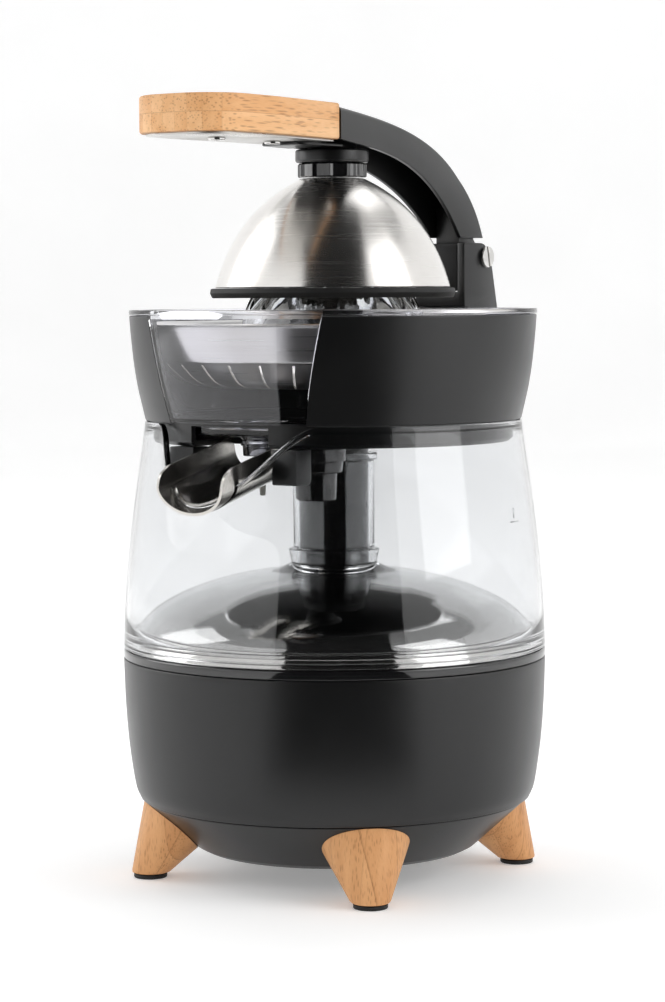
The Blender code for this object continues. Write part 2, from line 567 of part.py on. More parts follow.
def build_press(dome_axis):
    """Press dome with its rim gasket and the bayonet collar that locks it to the socket."""
    def nubs(index):
        return 0.0145 if index % 6 else 0.0156

    collar = lofted([circle(nubs, 0.3129, MEDIUM), circle(nubs, 0.3193, MEDIUM)])
    piece("lock_collar", collar, BLACK, 0.35, 0.0, dome_axis)
    sheet = 0.0012
    curve = bezier([(0.0144, 0.3124), (0.0254, 0.3071), (0.0447, 0.2954), (0.0528, 0.2640)], 8)
    outer = [(0.0, 0.3126)] + curve
    inner = [(r - sheet, z - sheet) for r, z in reversed(curve[:-1])]
    inner = [(0.0528 - sheet, 0.2640)] + inner + [(0.0, 0.3126 - sheet)]
    piece("press_dome", turned(outer + inner, 32), STEEL, 0.25, 1.0, dome_axis)
    piece("dome_gasket", tube(0.0551, 0.0500, 0.2594, 0.2637, 32), RUBBER, 0.6, 0.0, dome_axis)


def main():
    """Clear the scene and build every piece."""
    for obj in list(bpy.data.objects):
        bpy.data.objects.remove(obj, do_unlink=True)
    drive_axis = empty("drive_axis", (0.0, 0.0, 0.0))
    motor_axis = empty("motor_axis", (MOTOR_X, 0.0, 0.0))
    spout_axis = empty("spout_axis", SPOUT_PIVOT)
    arm_axis = empty("arm_axis", ARM_PIVOT)
    dome_axis = empty("dome_axis", (0.0, 0.0, 0.3160))
    bpy.context.view_layer.update()
    build_base()
    build_legs()
    build_drive(drive_axis, motor_axis)
    build_jug()
    build_housing()
    build_collector()
    build_spout(spout_axis)
    build_reamer(drive_axis)
    build_tower()
    build_lever(arm_axis)
    build_press(dome_axis)


main()
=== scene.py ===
"""Looks of the citrus press juicer: every visible piece, its finish, and the studio around it.

Units are metres. The drive axis is X = Y = 0, +Z is up from the table and -Y is the front,
where the spout and the handle point. Pieces are made in place, so their objects stay at the origin.
"""

import logging
import math
from dataclasses import dataclass
from enum import Enum
from typing import Callable, Optional, Sequence

import bmesh
import bpy
from mathutils import Matrix, Vector


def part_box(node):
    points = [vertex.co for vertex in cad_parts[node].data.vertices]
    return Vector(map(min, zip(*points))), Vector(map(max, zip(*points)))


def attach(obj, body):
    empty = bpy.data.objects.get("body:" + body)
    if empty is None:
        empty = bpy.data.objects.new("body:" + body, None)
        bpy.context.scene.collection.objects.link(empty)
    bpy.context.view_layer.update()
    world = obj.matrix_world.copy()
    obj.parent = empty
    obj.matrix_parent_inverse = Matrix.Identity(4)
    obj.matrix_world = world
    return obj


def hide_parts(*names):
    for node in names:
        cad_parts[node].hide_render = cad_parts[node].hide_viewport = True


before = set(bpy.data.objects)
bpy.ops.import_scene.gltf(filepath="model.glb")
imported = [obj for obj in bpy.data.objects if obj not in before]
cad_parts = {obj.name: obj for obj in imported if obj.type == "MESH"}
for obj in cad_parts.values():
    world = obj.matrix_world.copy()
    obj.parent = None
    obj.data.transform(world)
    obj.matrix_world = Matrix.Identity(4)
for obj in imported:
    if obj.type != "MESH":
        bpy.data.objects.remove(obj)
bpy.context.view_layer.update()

LOG = logging.getLogger("citrus_press")
Point = tuple[float, float]
Triple = tuple[float, float, float]      # a place, or a corner and the radius it is rounded to
Colour = tuple[float, float, float, float]
FULL_TURN = 2.0 * math.pi
GAP = 0.0003             # seating gap between touching pieces


class Slot(Enum):
    """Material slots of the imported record."""

    BLACK = "black_satin_plastic"
    CLEAR = "clear_plastic"
    BRUSHED = "brushed_steel"
    POLISHED = "polished_steel"
    BAMBOO = "bamboo"
    RUBBER = "black_rubber"
    NYLON = "bearing_plastic"


class Body(Enum):
    """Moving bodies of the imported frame."""

    BASE = "base"
    JUG = "jug"
    UPPER = "upper_unit"
    SPOUT = "spout"
    REAMER = "reamer"
    LEVER = "lever"
    PRESS = "press"


# ---------------------------------------------------------------- shader helpers
def srgb(code: str) -> Colour:
    """Linear colour of an sRGB hex value.

    Args:
        code: Six hex digits after a hash.

    Returns:
        Red, green, blue and an alpha of 1.
    """
    channels = [int(code[i:i + 2], 16) / 255.0 for i in (1, 3, 5)]
    linear = [c / 12.92 if c <= 0.04045 else ((c + 0.055) / 1.055) ** 2.4 for c in channels]
    return (linear[0], linear[1], linear[2], 1.0)


def wire(tree: bpy.types.NodeTree, node: bpy.types.Node, inputs: dict) -> None:
    """Sets a node's inputs to values, or links them where an output is given.

    Args:
        tree: The tree that holds the node.
        node: The node to set.
        inputs: Socket name or index to value or output socket.
    """
    for key, value in inputs.items():
        if isinstance(value, bpy.types.NodeSocket):
            tree.links.new(value, node.inputs[key])
        else:
            node.inputs[key].default_value = value


def add_node(tree: bpy.types.NodeTree, kind: str, inputs: Optional[dict] = None,
             **settings: object) -> bpy.types.Node:
    """Adds one node with its settings and links.

    Args:
        tree: The tree to add to.
        kind: The node's type name.
        inputs: Socket name or index to value or output socket.
        **settings: Properties of the node.

    Returns:
        The new node.
    """
    node = tree.nodes.new(kind)
    for key, value in settings.items():
        setattr(node, key, value)
    wire(tree, node, inputs or {})
    return node


# ---------------------------------------------------------------- finishes
@dataclass(frozen=True)
class Finish:
    """A named material that is painted on a Principled shader in object coordinates."""

    name: str

    def make(self) -> bpy.types.Material:
        """Creates the material.

        Returns:
            The finished material.
        """
        material = bpy.data.materials.new(self.name)
        material.use_nodes = True
        tree = material.node_tree
        place = add_node(tree, "ShaderNodeTexCoord").outputs["Object"]
        self.paint(tree, tree.nodes["Principled BSDF"], place)
        return material

    def paint(self, tree: bpy.types.NodeTree, shader: bpy.types.Node, place: bpy.types.NodeSocket) -> None:
        """Adds the finish's own nodes.

        Args:
            tree: The material's node tree.
            shader: Its Principled shader.
            place: Object coordinates in metres.
        """
        raise NotImplementedError


@dataclass(frozen=True)
class Moulded(Finish):
    """Moulded plastic or rubber with a fine spark-eroded texture, which spreads light to a soft sheen."""

    dark: str
    light: str
    roughness: float
    grain: float = 0.0006      # texture pitch; the real 0.15 mm is too fine to show
    depth: float = 0.00003
    specular: float = 0.5
    cloud: float = 0.028       # size of a cloudy patch

    def paint(self, tree: bpy.types.NodeTree, shader: bpy.types.Node, place: bpy.types.NodeSocket) -> None:
        """Adds cloudy tone, cloudy gloss and the moulded grain.

        Args:
            tree: The material's node tree.
            shader: Its Principled shader.
            place: Object coordinates in metres.
        """
        cloud = add_node(tree, "ShaderNodeTexNoise",
                         {"Vector": place, "Scale": 1.0 / self.cloud, "Detail": 3.0}).outputs[0]
        grain = add_node(tree, "ShaderNodeTexNoise",
                         {"Vector": place, "Scale": 1.0 / self.grain, "Detail": 1.0}).outputs[0]
        tone = add_node(tree, "ShaderNodeMix", {0: cloud, 6: srgb(self.dark), 7: srgb(self.light)},
                        data_type="RGBA").outputs[2]
        gloss = add_node(tree, "ShaderNodeMapRange",
                         {0: cloud, 1: 0.3, 2: 0.7, 3: self.roughness - 0.03, 4: self.roughness + 0.03})
        bump = add_node(tree, "ShaderNodeBump", {"Height": grain, "Distance": self.depth, "Strength": 0.6})
        wire(tree, shader, {"Base Color": tone, "Roughness": gloss.outputs[0], "Normal": bump.outputs[0],
                            "Specular IOR Level": self.specular, "IOR": 1.52})


@dataclass(frozen=True)
class ClearPlastic(Finish):
    """Clear moulded copolyester: bright edges, faint flow waves and no colour of its own."""

    tint: str
    ior: float = 1.49
    wave: float = 0.00012      # height of a flow wave
    wave_length: float = 0.035

    def paint(self, tree: bpy.types.NodeTree, shader: bpy.types.Node, place: bpy.types.NodeSocket) -> None:
        """Adds transmission, flow waves and a little haze.

        Args:
            tree: The material's node tree.
            shader: Its Principled shader.
            place: Object coordinates in metres.
        """
        flow = add_node(tree, "ShaderNodeTexNoise",
                        {"Vector": place, "Scale": 1.0 / self.wave_length, "Detail": 1.0}).outputs[0]
        haze = add_node(tree, "ShaderNodeMapRange", {0: flow, 1: 0.3, 2: 0.7, 3: 0.0, 4: 0.03}).outputs[0]
        warm = add_node(tree, "ShaderNodeMix", {0: flow, 6: srgb(self.tint), 7: srgb("#F1F2F3")},
                        data_type="RGBA").outputs[2]
        bump = add_node(tree, "ShaderNodeBump", {"Height": flow, "Distance": self.wave, "Strength": 0.5})
        wire(tree, shader, {"Base Color": warm, "Roughness": haze, "IOR": self.ior,
                            "Transmission Weight": 1.0, "Normal": bump.outputs[0]})


@dataclass(frozen=True)
class SpunSteel(Finish):
    """Stainless steel brushed on a lathe: rings of fine scratches that stretch every highlight."""

    light: str
    dark: str
    roughness: float
    anisotropy: float
    pitch: float = 0.0007      # scratch spacing; the real 0.1 mm is too fine to show
    depth: float = 0.000015
    patch: float = 0.04        # size of a lighter or darker patch

    def paint(self, tree: bpy.types.NodeTree, shader: bpy.types.Node, place: bpy.types.NodeSocket) -> None:
        """Adds scratches that run round the drive axis and a slow change of tone.

        Args:
            tree: The material's node tree.
            shader: Its Principled shader.
            place: Object coordinates in metres.
        """
        flat = add_node(tree, "ShaderNodeVectorMath", {0: place, 1: (1.0, 1.0, 0.0)},
                        operation="MULTIPLY").outputs[0]
        reach = add_node(tree, "ShaderNodeVectorMath", {0: flat}, operation="LENGTH").outputs["Value"]
        aim = add_node(tree, "ShaderNodeVectorMath", {0: flat}, operation="NORMALIZE").outputs[0]
        rise = add_node(tree, "ShaderNodeVectorMath", {0: place, 1: (0.0, 0.0, 1.0 / self.pitch)},
                        operation="MULTIPLY").outputs[0]
        spread = add_node(tree, "ShaderNodeVectorMath", {0: aim, 1: (1.6, 1.6, 0.0), 2: rise},
                          operation="MULTIPLY_ADD").outputs[0]
        turns = add_node(tree, "ShaderNodeMath", {0: reach, 1: 1.0 / self.pitch},
                         operation="MULTIPLY").outputs[0]
        scratch = add_node(tree, "ShaderNodeTexNoise",
                           {"Vector": spread, "W": turns, "Scale": 1.0, "Detail": 2.0},
                           noise_dimensions="4D").outputs[0]
        slow = add_node(tree, "ShaderNodeTexNoise", {"Vector": place, "Scale": 1.0 / self.patch}).outputs[0]
        mixed = add_node(tree, "ShaderNodeMath", {0: scratch, 1: 0.35, 2: slow},
                         operation="MULTIPLY_ADD").outputs[0]
        tone = add_node(tree, "ShaderNodeMapRange", {0: mixed, 1: 0.45, 2: 0.9}).outputs[0]
        colour = add_node(tree, "ShaderNodeMix", {0: tone, 6: srgb(self.dark), 7: srgb(self.light)},
                          data_type="RGBA").outputs[2]
        gloss = add_node(tree, "ShaderNodeMapRange",
                         {0: scratch, 1: 0.3, 2: 0.7, 3: self.roughness - 0.03, 4: self.roughness + 0.03})
        bump = add_node(tree, "ShaderNodeBump", {"Height": scratch, "Distance": self.depth, "Strength": 0.5})
        wire(tree, shader, {"Base Color": colour, "Metallic": 1.0, "Roughness": gloss.outputs[0],
                            "Anisotropic": self.anisotropy, "Anisotropic Rotation": 0.25,
                            "Normal": bump.outputs[0]})


@dataclass(frozen=True)
class PolishedMetal(Finish):
    """Buffed or plated metal: clear reflections with faint haze and rub marks along one direction."""

    light: str
    dark: str
    roughness: float
    stretch: Triple = (1.0, 1.0, 1.0)
    depth: float = 0.000004
    rub: float = 0.0009        # spacing of the rub marks
    patch: float = 0.03        # size of a lighter or darker patch

    def paint(self, tree: bpy.types.NodeTree, shader: bpy.types.Node, place: bpy.types.NodeSocket) -> None:
        """Adds haze, rub marks and a slow change of tone.

        Args:
            tree: The material's node tree.
            shader: Its Principled shader.
            place: Object coordinates in metres.
        """
        rubbed = add_node(tree, "ShaderNodeVectorMath", {0: place, 1: self.stretch},
                          operation="MULTIPLY").outputs[0]
        marks = add_node(tree, "ShaderNodeTexNoise",
                         {"Vector": rubbed, "Scale": 1.0 / self.rub, "Detail": 2.0}).outputs[0]
        slow = add_node(tree, "ShaderNodeTexNoise", {"Vector": place, "Scale": 1.0 / self.patch}).outputs[0]
        colour = add_node(tree, "ShaderNodeMix", {0: slow, 6: srgb(self.dark), 7: srgb(self.light)},
                          data_type="RGBA").outputs[2]
        gloss = add_node(tree, "ShaderNodeMapRange",
                         {0: slow, 1: 0.3, 2: 0.7, 3: self.roughness * 0.7, 4: self.roughness * 1.4})
        bump = add_node(tree, "ShaderNodeBump", {"Height": marks, "Distance": self.depth, "Strength": 0.4})
        wire(tree, shader, {"Base Color": colour, "Metallic": 1.0, "Roughness": gloss.outputs[0],
                            "Normal": bump.outputs[0]})


@dataclass(frozen=True)
class Bamboo(Finish):
    """Laminated bamboo under a satin oil: pressed strips, brown fibre bundles and thin glue lines."""

    pale: str
    tan: str
    fibre: str
    turn: Triple       # brings the grain onto Y
    shift: Triple      # puts the glue lines where the strips meet
    strip: tuple[float, float] = (0.0062, 0.0079)
    bundle: float = 0.0011                 # spacing of the bundles; the real 0.8 mm is too fine to show
    run: float = 0.0120                    # length of a bundle along the grain
    glue: float = 0.05                     # width of a glue line, as a share of the strip

    def paint(self, tree: bpy.types.NodeTree, shader: bpy.types.Node, place: bpy.types.NodeSocket) -> None:
        """Adds strips of their own tone, glue lines and fibre bundles.

        Args:
            tree: The material's node tree.
            shader: Its Principled shader.
            place: Object coordinates in metres.
        """
        grain = add_node(tree, "ShaderNodeMapping",
                         {"Vector": place, "Rotation": self.turn, "Location": self.shift}).outputs[0]
        cells = add_node(tree, "ShaderNodeVectorMath",
                         {0: grain, 1: (1.0 / self.strip[0], 0.0, 1.0 / self.strip[1])},
                         operation="MULTIPLY").outputs[0]
        own = add_node(tree, "ShaderNodeVectorMath", {0: cells}, operation="FLOOR").outputs[0]
        strip_tone = add_node(tree, "ShaderNodeTexWhiteNoise", {"Vector": own}).outputs["Value"]
        edge = add_node(tree, "ShaderNodeVectorMath", {0: cells}, operation="FRACTION").outputs[0]
        part = add_node(tree, "ShaderNodeSeparateXYZ", {0: edge})
        glue = [add_node(tree, "ShaderNodeMapRange",
                         {0: part.outputs[way], 1: 0.0, 2: self.glue, 3: strength, 4: 0.0}).outputs[0]
                for way, strength in ((2, 1.0), (0, 0.5))]
        lines = add_node(tree, "ShaderNodeMath", {0: glue[0], 1: glue[1]}, operation="MAXIMUM").outputs[0]

        along = add_node(tree, "ShaderNodeVectorMath",
                         {0: grain, 1: (1.0 / self.bundle, 1.0 / self.run, 1.0 / self.bundle)},
                         operation="MULTIPLY").outputs[0]
        bundles = add_node(tree, "ShaderNodeTexVoronoi", {"Vector": along, "Scale": 1.0, "Randomness": 0.95})
        dots = add_node(tree, "ShaderNodeMapRange",
                        {0: bundles.outputs["Distance"], 1: 0.16, 2: 0.42, 3: 1.0, 4: 0.0}).outputs[0]
        drift = add_node(tree, "ShaderNodeTexNoise",
                         {"Vector": along, "Scale": 0.16, "Detail": 3.0}).outputs[0]
        dense = add_node(tree, "ShaderNodeMapRange", {0: drift, 1: 0.25, 2: 0.55}).outputs[0]
        flecks = add_node(tree, "ShaderNodeMath", {0: dots, 1: dense}, operation="MULTIPLY").outputs[0]
        fine = add_node(tree, "ShaderNodeTexNoise", {"Vector": along, "Scale": 2.5, "Detail": 2.0}).outputs[0]

        blend = add_node(tree, "ShaderNodeMath", {0: strip_tone, 1: 0.45, 2: drift}, operation="MULTIPLY_ADD")
        grey = add_node(tree, "ShaderNodeMath", {0: fine, 1: 0.35, 2: blend.outputs[0]},
                        operation="MULTIPLY_ADD")
        tone = add_node(tree, "ShaderNodeMapRange", {0: grey.outputs[0], 1: 0.5, 2: 1.25}).outputs[0]
        wood = add_node(tree, "ShaderNodeMix", {0: tone, 6: srgb(self.pale), 7: srgb(self.tan)},
                        data_type="RGBA").outputs[2]
        share = add_node(tree, "ShaderNodeMath", {0: flecks, 1: 0.5}, operation="MULTIPLY").outputs[0]
        flecked = add_node(tree, "ShaderNodeMix", {0: share, 6: wood, 7: srgb(self.fibre)},
                           data_type="RGBA").outputs[2]
        line_share = add_node(tree, "ShaderNodeMath", {0: lines, 1: 0.45}, operation="MULTIPLY").outputs[0]
        colour = add_node(tree, "ShaderNodeMix", {0: line_share, 6: flecked, 7: srgb(self.fibre)},
                          data_type="RGBA").outputs[2]
        gloss = add_node(tree, "ShaderNodeMapRange", {0: fine, 1: 0.3, 2: 0.7, 3: 0.42, 4: 0.56}).outputs[0]
        relief = add_node(tree, "ShaderNodeMath", {0: flecks, 1: fine}, operation="SUBTRACT").outputs[0]
        bump = add_node(tree, "ShaderNodeBump", {"Height": relief, "Distance": 0.00005, "Strength": 0.35},
                        invert=True)
        wire(tree, shader, {"Base Color": colour, "Roughness": gloss, "Normal": bump.outputs[0],
                            "Specular IOR Level": 0.4})


@dataclass(frozen=True)
class BackdropPaper(Finish):
    """Matt white studio paper that stays even and pale."""

    tone: str
    glow: float
    fibre: float = 0.4         # size of a paler or darker patch

    def paint(self, tree: bpy.types.NodeTree, shader: bpy.types.Node, place: bpy.types.NodeSocket) -> None:
        """Adds a hardly visible paper tone.

        Args:
            tree: The material's node tree.
            shader: Its Principled shader.
            place: Object coordinates in metres.
        """
        fibre = add_node(tree, "ShaderNodeTexNoise", {"Vector": place, "Scale": 1.0 / self.fibre}).outputs[0]
        tone = add_node(tree, "ShaderNodeMix", {0: fibre, 6: srgb(self.tone), 7: srgb("#FFFFFF")},
                        data_type="RGBA").outputs[2]
        wire(tree, shader, {"Base Color": tone, "Roughness": 0.9, "Specular IOR Level": 0.1,
                            "Emission Color": srgb("#FFFFFF"), "Emission Strength": self.glow})


# ---------------------------------------------------------------- outline helpers
def bezier(points: Sequence[Point], count: int) -> list[Point]:
    """Points along a cubic curve.

    Args:
        points: Start, two controls and end.
        count: How many points, ends included.

    Returns:
        The points from start to end.
    """
    a, b, c, d = (Vector(p) for p in points)
    result = []
    for i in range(count):
        t = i / (count - 1)
        s = 1.0 - t
        result.append(tuple(a * s ** 3 + 3 * b * s * s * t + 3 * c * s * t * t + d * t ** 3))
    return result


def smooth_path(points: Sequence[Point], per_span: int) -> list[Point]:
    """Smooth path through every given point.

    Args:
        points: Points that the path passes.
        per_span: Steps from one point to the next.

    Returns:
        The finer path, ends included.
    """
    knots = [Vector(p) for p in points]
    knots = [knots[0] * 2.0 - knots[1]] + knots + [knots[-1] * 2.0 - knots[-2]]
    result = []
    for i in range(1, len(knots) - 2):
        before, start, end, after = knots[i - 1:i + 3]
        for step in range(per_span):
            t = step / per_span
            point = (start * 2.0 + (end - before) * t
                     + (before * 2.0 - start * 5.0 + end * 4.0 - after) * t * t
                     + (start * 3.0 - before - end * 3.0 + after) * t ** 3) * 0.5
            result.append(tuple(point))
    result.append(tuple(knots[-2]))
    return result


def ellipse_arc(a: float, b: float, z0: float, r_from: float, r_to: float, count: int) -> list[Point]:
    """Points (r, z) on an ellipse between two radii.

    Args:
        a: Half axis along the radius.
        b: Half axis along the height.
        z0: Height of the centre.
        r_from: First radius.
        r_to: Last radius.
        count: How many points.

    Returns:
        The points, ends included.
    """
    start, end = math.acos(min(r_from / a, 1.0)), math.acos(min(r_to / a, 1.0))
    angles = [start + (end - start) * i / (count - 1) for i in range(count)]
    return [(a * math.cos(t), z0 + b * math.sin(t)) for t in angles]


def rounded(points: Sequence[Triple], closed: bool = True, segments: int = 4) -> list[Point]:
    """Outline with rounded corners.

    Args:
        points: Corners as (u, v, radius); a radius of 0 stays sharp.
        closed: Whether the last corner joins the first.
        segments: Steps of a rounded corner.

    Returns:
        The outline's points.
    """
    count = len(points)
    result = []
    for i, (u, v, radius) in enumerate(points):
        corner = Vector((u, v))
        if radius <= 0.0 or (not closed and i in (0, count - 1)):
            result.append((u, v))
            continue
        back = Vector(points[i - 1][:2]) - corner
        ahead = Vector(points[(i + 1) % count][:2]) - corner
        half = back.angle(ahead) / 2.0
        if half > math.radians(89.0):
            result.append((u, v))
            continue
        length = min(radius / math.tan(half), 0.48 * back.length, 0.48 * ahead.length)
        start = corner + back.normalized() * length
        end = corner + ahead.normalized() * length
        middle = corner + (start + end - corner * 2.0).normalized() * (length / math.cos(half))
        first = math.atan2(start.y - middle.y, start.x - middle.x)
        sweep = math.remainder(math.atan2(end.y - middle.y, end.x - middle.x) - first, FULL_TURN)
        reach = length * math.tan(half)
        for step in range(segments + 1):
            angle = first + sweep * step / segments
            result.append((middle.x + reach * math.cos(angle), middle.y + reach * math.sin(angle)))
    return result


def sharp_points(points: Sequence[Point]) -> list[Triple]:
    """The points as corners with no rounding."""
    return [(u, v, 0.0) for u, v in points]


# ---------------------------------------------------------------- mesh helpers
def spun(profile: Sequence[Point], steps: int, closed: bool = True,
         centre: Point = (0.0, 0.0)) -> bmesh.types.BMesh:
    """Full turn of an (r, z) outline about an upright axis.

    Args:
        profile: Outline points.
        steps: Sides of the turn.
        closed: Whether the outline's ends are joined, unless they lie on the axis.
        centre: Where the axis stands.

    Returns:
        The turned mesh.
    """
    bm = bmesh.new()
    verts = [bm.verts.new((r, 0.0, z)) for r, z in profile]
    edges = [bm.edges.new(pair) for pair in zip(verts, verts[1:])]
    if closed and (profile[0][0] > 0.0 or profile[-1][0] > 0.0):
        edges.append(bm.edges.new((verts[-1], verts[0])))
    bmesh.ops.spin(bm, geom=verts + edges, cent=(0, 0, 0), axis=(0, 0, 1), angle=FULL_TURN,
                   steps=steps, use_merge=True)
    bmesh.ops.remove_doubles(bm, verts=bm.verts, dist=1e-6)
    bmesh.ops.translate(bm, vec=(centre[0], centre[1], 0.0), verts=bm.verts)
    return bm


def pulled(outline: Sequence[Point], axis: str, low: float, high: float) -> bmesh.types.BMesh:
    """Outline pulled straight along an axis.

    Args:
        outline: (y, z) points for X, (x, z) for Y and (x, y) for Z.
        axis: X, Y or Z.
        low: Where it starts.
        high: Where it ends.

    Returns:
        The closed solid.
    """
    order = {"X": (2, 0, 1), "Y": (0, 2, 1), "Z": (0, 1, 2)}[axis]
    bm = bmesh.new()
    corners = []
    for u, v in outline:
        values = (u, v, low)
        corners.append(bm.verts.new([values[i] for i in order]))
    face = bm.faces.new(corners)
    grown = bmesh.ops.extrude_face_region(bm, geom=[face])
    moved = [item for item in grown["geom"] if isinstance(item, bmesh.types.BMVert)]
    shift = Vector((0.0, 0.0, 0.0))
    shift["XYZ".index(axis)] = high - low
    bmesh.ops.translate(bm, vec=shift, verts=moved)
    bmesh.ops.recalc_face_normals(bm, faces=bm.faces)
    return bm


def skinned(rings: Sequence[Sequence[Sequence[float]]], capped: bool = True) -> bmesh.types.BMesh:
    """Skin over equally long rings of points.

    Args:
        rings: Closed rings in order.
        capped: Whether the first and last ring are closed with a face.

    Returns:
        The skinned mesh.
    """
    bm = bmesh.new()
    loops = [[bm.verts.new(point) for point in ring] for ring in rings]
    for lower, upper in zip(loops, loops[1:]):
        for i in range(len(lower)):
            bm.faces.new((lower[i - 1], lower[i], upper[i], upper[i - 1]))
    if capped:
        for end in (loops[0], loops[-1]):
            bm.faces.new(end)
    bmesh.ops.recalc_face_normals(bm, faces=bm.faces)
    return bm


def softened(bm: bmesh.types.BMesh, width: float, segments: int = 2,
             limit: float = 35.0) -> bmesh.types.BMesh:
    """Bevels every edge sharper than a limit.

    Args:
        bm: The mesh to soften.
        width: Bevel width.
        segments: Bevel steps.
        limit: Smallest angle in degrees that is bevelled.

    Returns:
        The same mesh.
    """
    edges = [e for e in bm.edges if len(e.link_faces) == 2 and e.calc_face_angle() > math.radians(limit)]
    bmesh.ops.bevel(bm, geom=edges, offset=width, offset_type="OFFSET", affect="EDGES", segments=segments,
                    profile=0.5, material=-1, clamp_overlap=True)
    return bm


def rotated(bm: bmesh.types.BMesh, angle: float, axis: str) -> bmesh.types.BMesh:
    """Turns a mesh about an axis through the origin.

    Args:
        bm: The mesh to turn.
        angle: Angle in radians.
        axis: X, Y or Z.

    Returns:
        The same mesh.
    """
    bmesh.ops.rotate(bm, cent=(0, 0, 0), matrix=Matrix.Rotation(angle, 3, axis), verts=bm.verts)
    return bm


def walled(bm: bmesh.types.BMesh, thickness: float) -> bmesh.types.BMesh:
    """Gives an open sheet its thickness, with its given side underneath.

    Args:
        bm: The sheet.
        thickness: Of its wall.

    Returns:
        The same mesh.
    """
    bmesh.ops.recalc_face_normals(bm, faces=bm.faces)
    if sum(f.normal.z * f.calc_area() for f in bm.faces) > 0.0:
        bmesh.ops.reverse_faces(bm, faces=bm.faces)
    bmesh.ops.solidify(bm, geom=bm.faces[:], thickness=thickness)
    return bm


def ring_of(z: float, count: int, reach: Callable[[float], float]) -> list[Triple]:
    """Ring of points round the drive axis.

    Args:
        z: Its height.
        count: How many points.
        reach: Gives the radius at an angle.

    Returns:
        The points.
    """
    angles = [FULL_TURN * i / count for i in range(count)]
    return [(reach(a) * math.cos(a), reach(a) * math.sin(a), z) for a in angles]


def at_angle(radius: float, angle: float, z: float) -> Vector:
    """Point at an angle round the drive axis, from the front towards +X."""
    return Vector((radius * math.sin(angle), -radius * math.cos(angle), z))


def placed(name: str, data: bpy.types.ID) -> bpy.types.Object:
    """New object that holds some data, in the scene.

    Args:
        name: Its name.
        data: A mesh, a light or a camera.

    Returns:
        The object.
    """
    obj = bpy.data.objects.new(name, data)
    bpy.context.scene.collection.objects.link(obj)
    return obj


def meshed(name: str, bm: bmesh.types.BMesh, material: bpy.types.Material) -> bpy.types.Object:
    """New smooth-shaded object made from a mesh.

    Args:
        name: Its name.
        bm: Its mesh, which is freed.
        material: Its material.

    Returns:
        The object.
    """
    mesh = bpy.data.meshes.new(name)
    bm.to_mesh(mesh)
    bm.free()
    mesh.materials.append(material)
    mesh.shade_smooth()
    return placed(name, mesh)


def turned_x(bm: bmesh.types.BMesh, pivot: Sequence[float]) -> bmesh.types.BMesh:
    """Lays an upright turned mesh along X through a pivot, so that its height becomes X.

    Args:
        bm: The mesh to lay.
        pivot: Point on its new axis.

    Returns:
        The same mesh.
    """
    rotated(bm, math.pi / 2.0, "Y")
    bmesh.ops.translate(bm, vec=(0.0, pivot[1], pivot[2]), verts=bm.verts)
    return bm


def joined(parts: Sequence[bmesh.types.BMesh]) -> bmesh.types.BMesh:
    """Several meshes as one.

    Args:
        parts: Meshes to put together; all but the first are freed.

    Returns:
        The first mesh, with the others added.
    """
    whole = parts[0]
    for part in parts[1:]:
        spare = bpy.data.meshes.new("spare")
        part.to_mesh(spare)
        part.free()
        whole.from_mesh(spare)
        bpy.data.meshes.remove(spare)
    return whole


def angle_from_front(x: float, y: float) -> float:
    """Angle round the drive axis from the front, positive towards +X."""
    return math.atan2(x, -y)


# ---------------------------------------------------------------- workshop
class Workshop:
    """Turns meshes into pieces with a finish and a body to ride on."""

    def __init__(self) -> None:
        """Starts with no finish made."""
        self.finishes: dict[str, bpy.types.Material] = {}

    def finish(self, finish: Finish) -> bpy.types.Material:
        """The finish's material, made once.

        Args:
            finish: The finish wanted.

        Returns:
            Its material.
        """
        if finish.name not in self.finishes:
            self.finishes[finish.name] = finish.make()
        return self.finishes[finish.name]

    def add(self, name: str, bm: bmesh.types.BMesh, body: Body, slot: Slot, finish: Finish,
            stands_for: Sequence[str] = (), sharp: float = 38.0) -> bpy.types.Object:
        """Makes a piece from a mesh and puts it on its body.

        Args:
            name: The piece's name.
            bm: Its mesh, in place; it is freed.
            body: The body that carries it.
            slot: The record's material slot; not used.
            finish: What it is made of.
            stands_for: CAD nodes that it replaces.
            sharp: Angle in degrees above which an edge stays sharp.

        Returns:
            The finished object.
        """
        bmesh.ops.recalc_face_normals(bm, faces=bm.faces)
        if bm.calc_volume(signed=True) < 0.0:
            bmesh.ops.reverse_faces(bm, faces=bm.faces)
        obj = meshed(name, bm, self.finish(finish))
        obj.data.set_sharp_from_angle(angle=math.radians(sharp))
        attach(obj, body.value)
        if stands_for:
            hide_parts(*stands_for)
        LOG.info("%s: %d faces on %s", name, len(obj.data.polygons), body.value)
        return obj

    def dress(self, node: str, finish: Finish) -> None:
        """Gives a CAD node that stays its finish.

        Args:
            node: The CAD node.
            finish: What it is made of.
        """
        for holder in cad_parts[node].material_slots:
            holder.link = "OBJECT"
            holder.material = self.finish(finish)
        LOG.info("%s: kept from the frame", node)


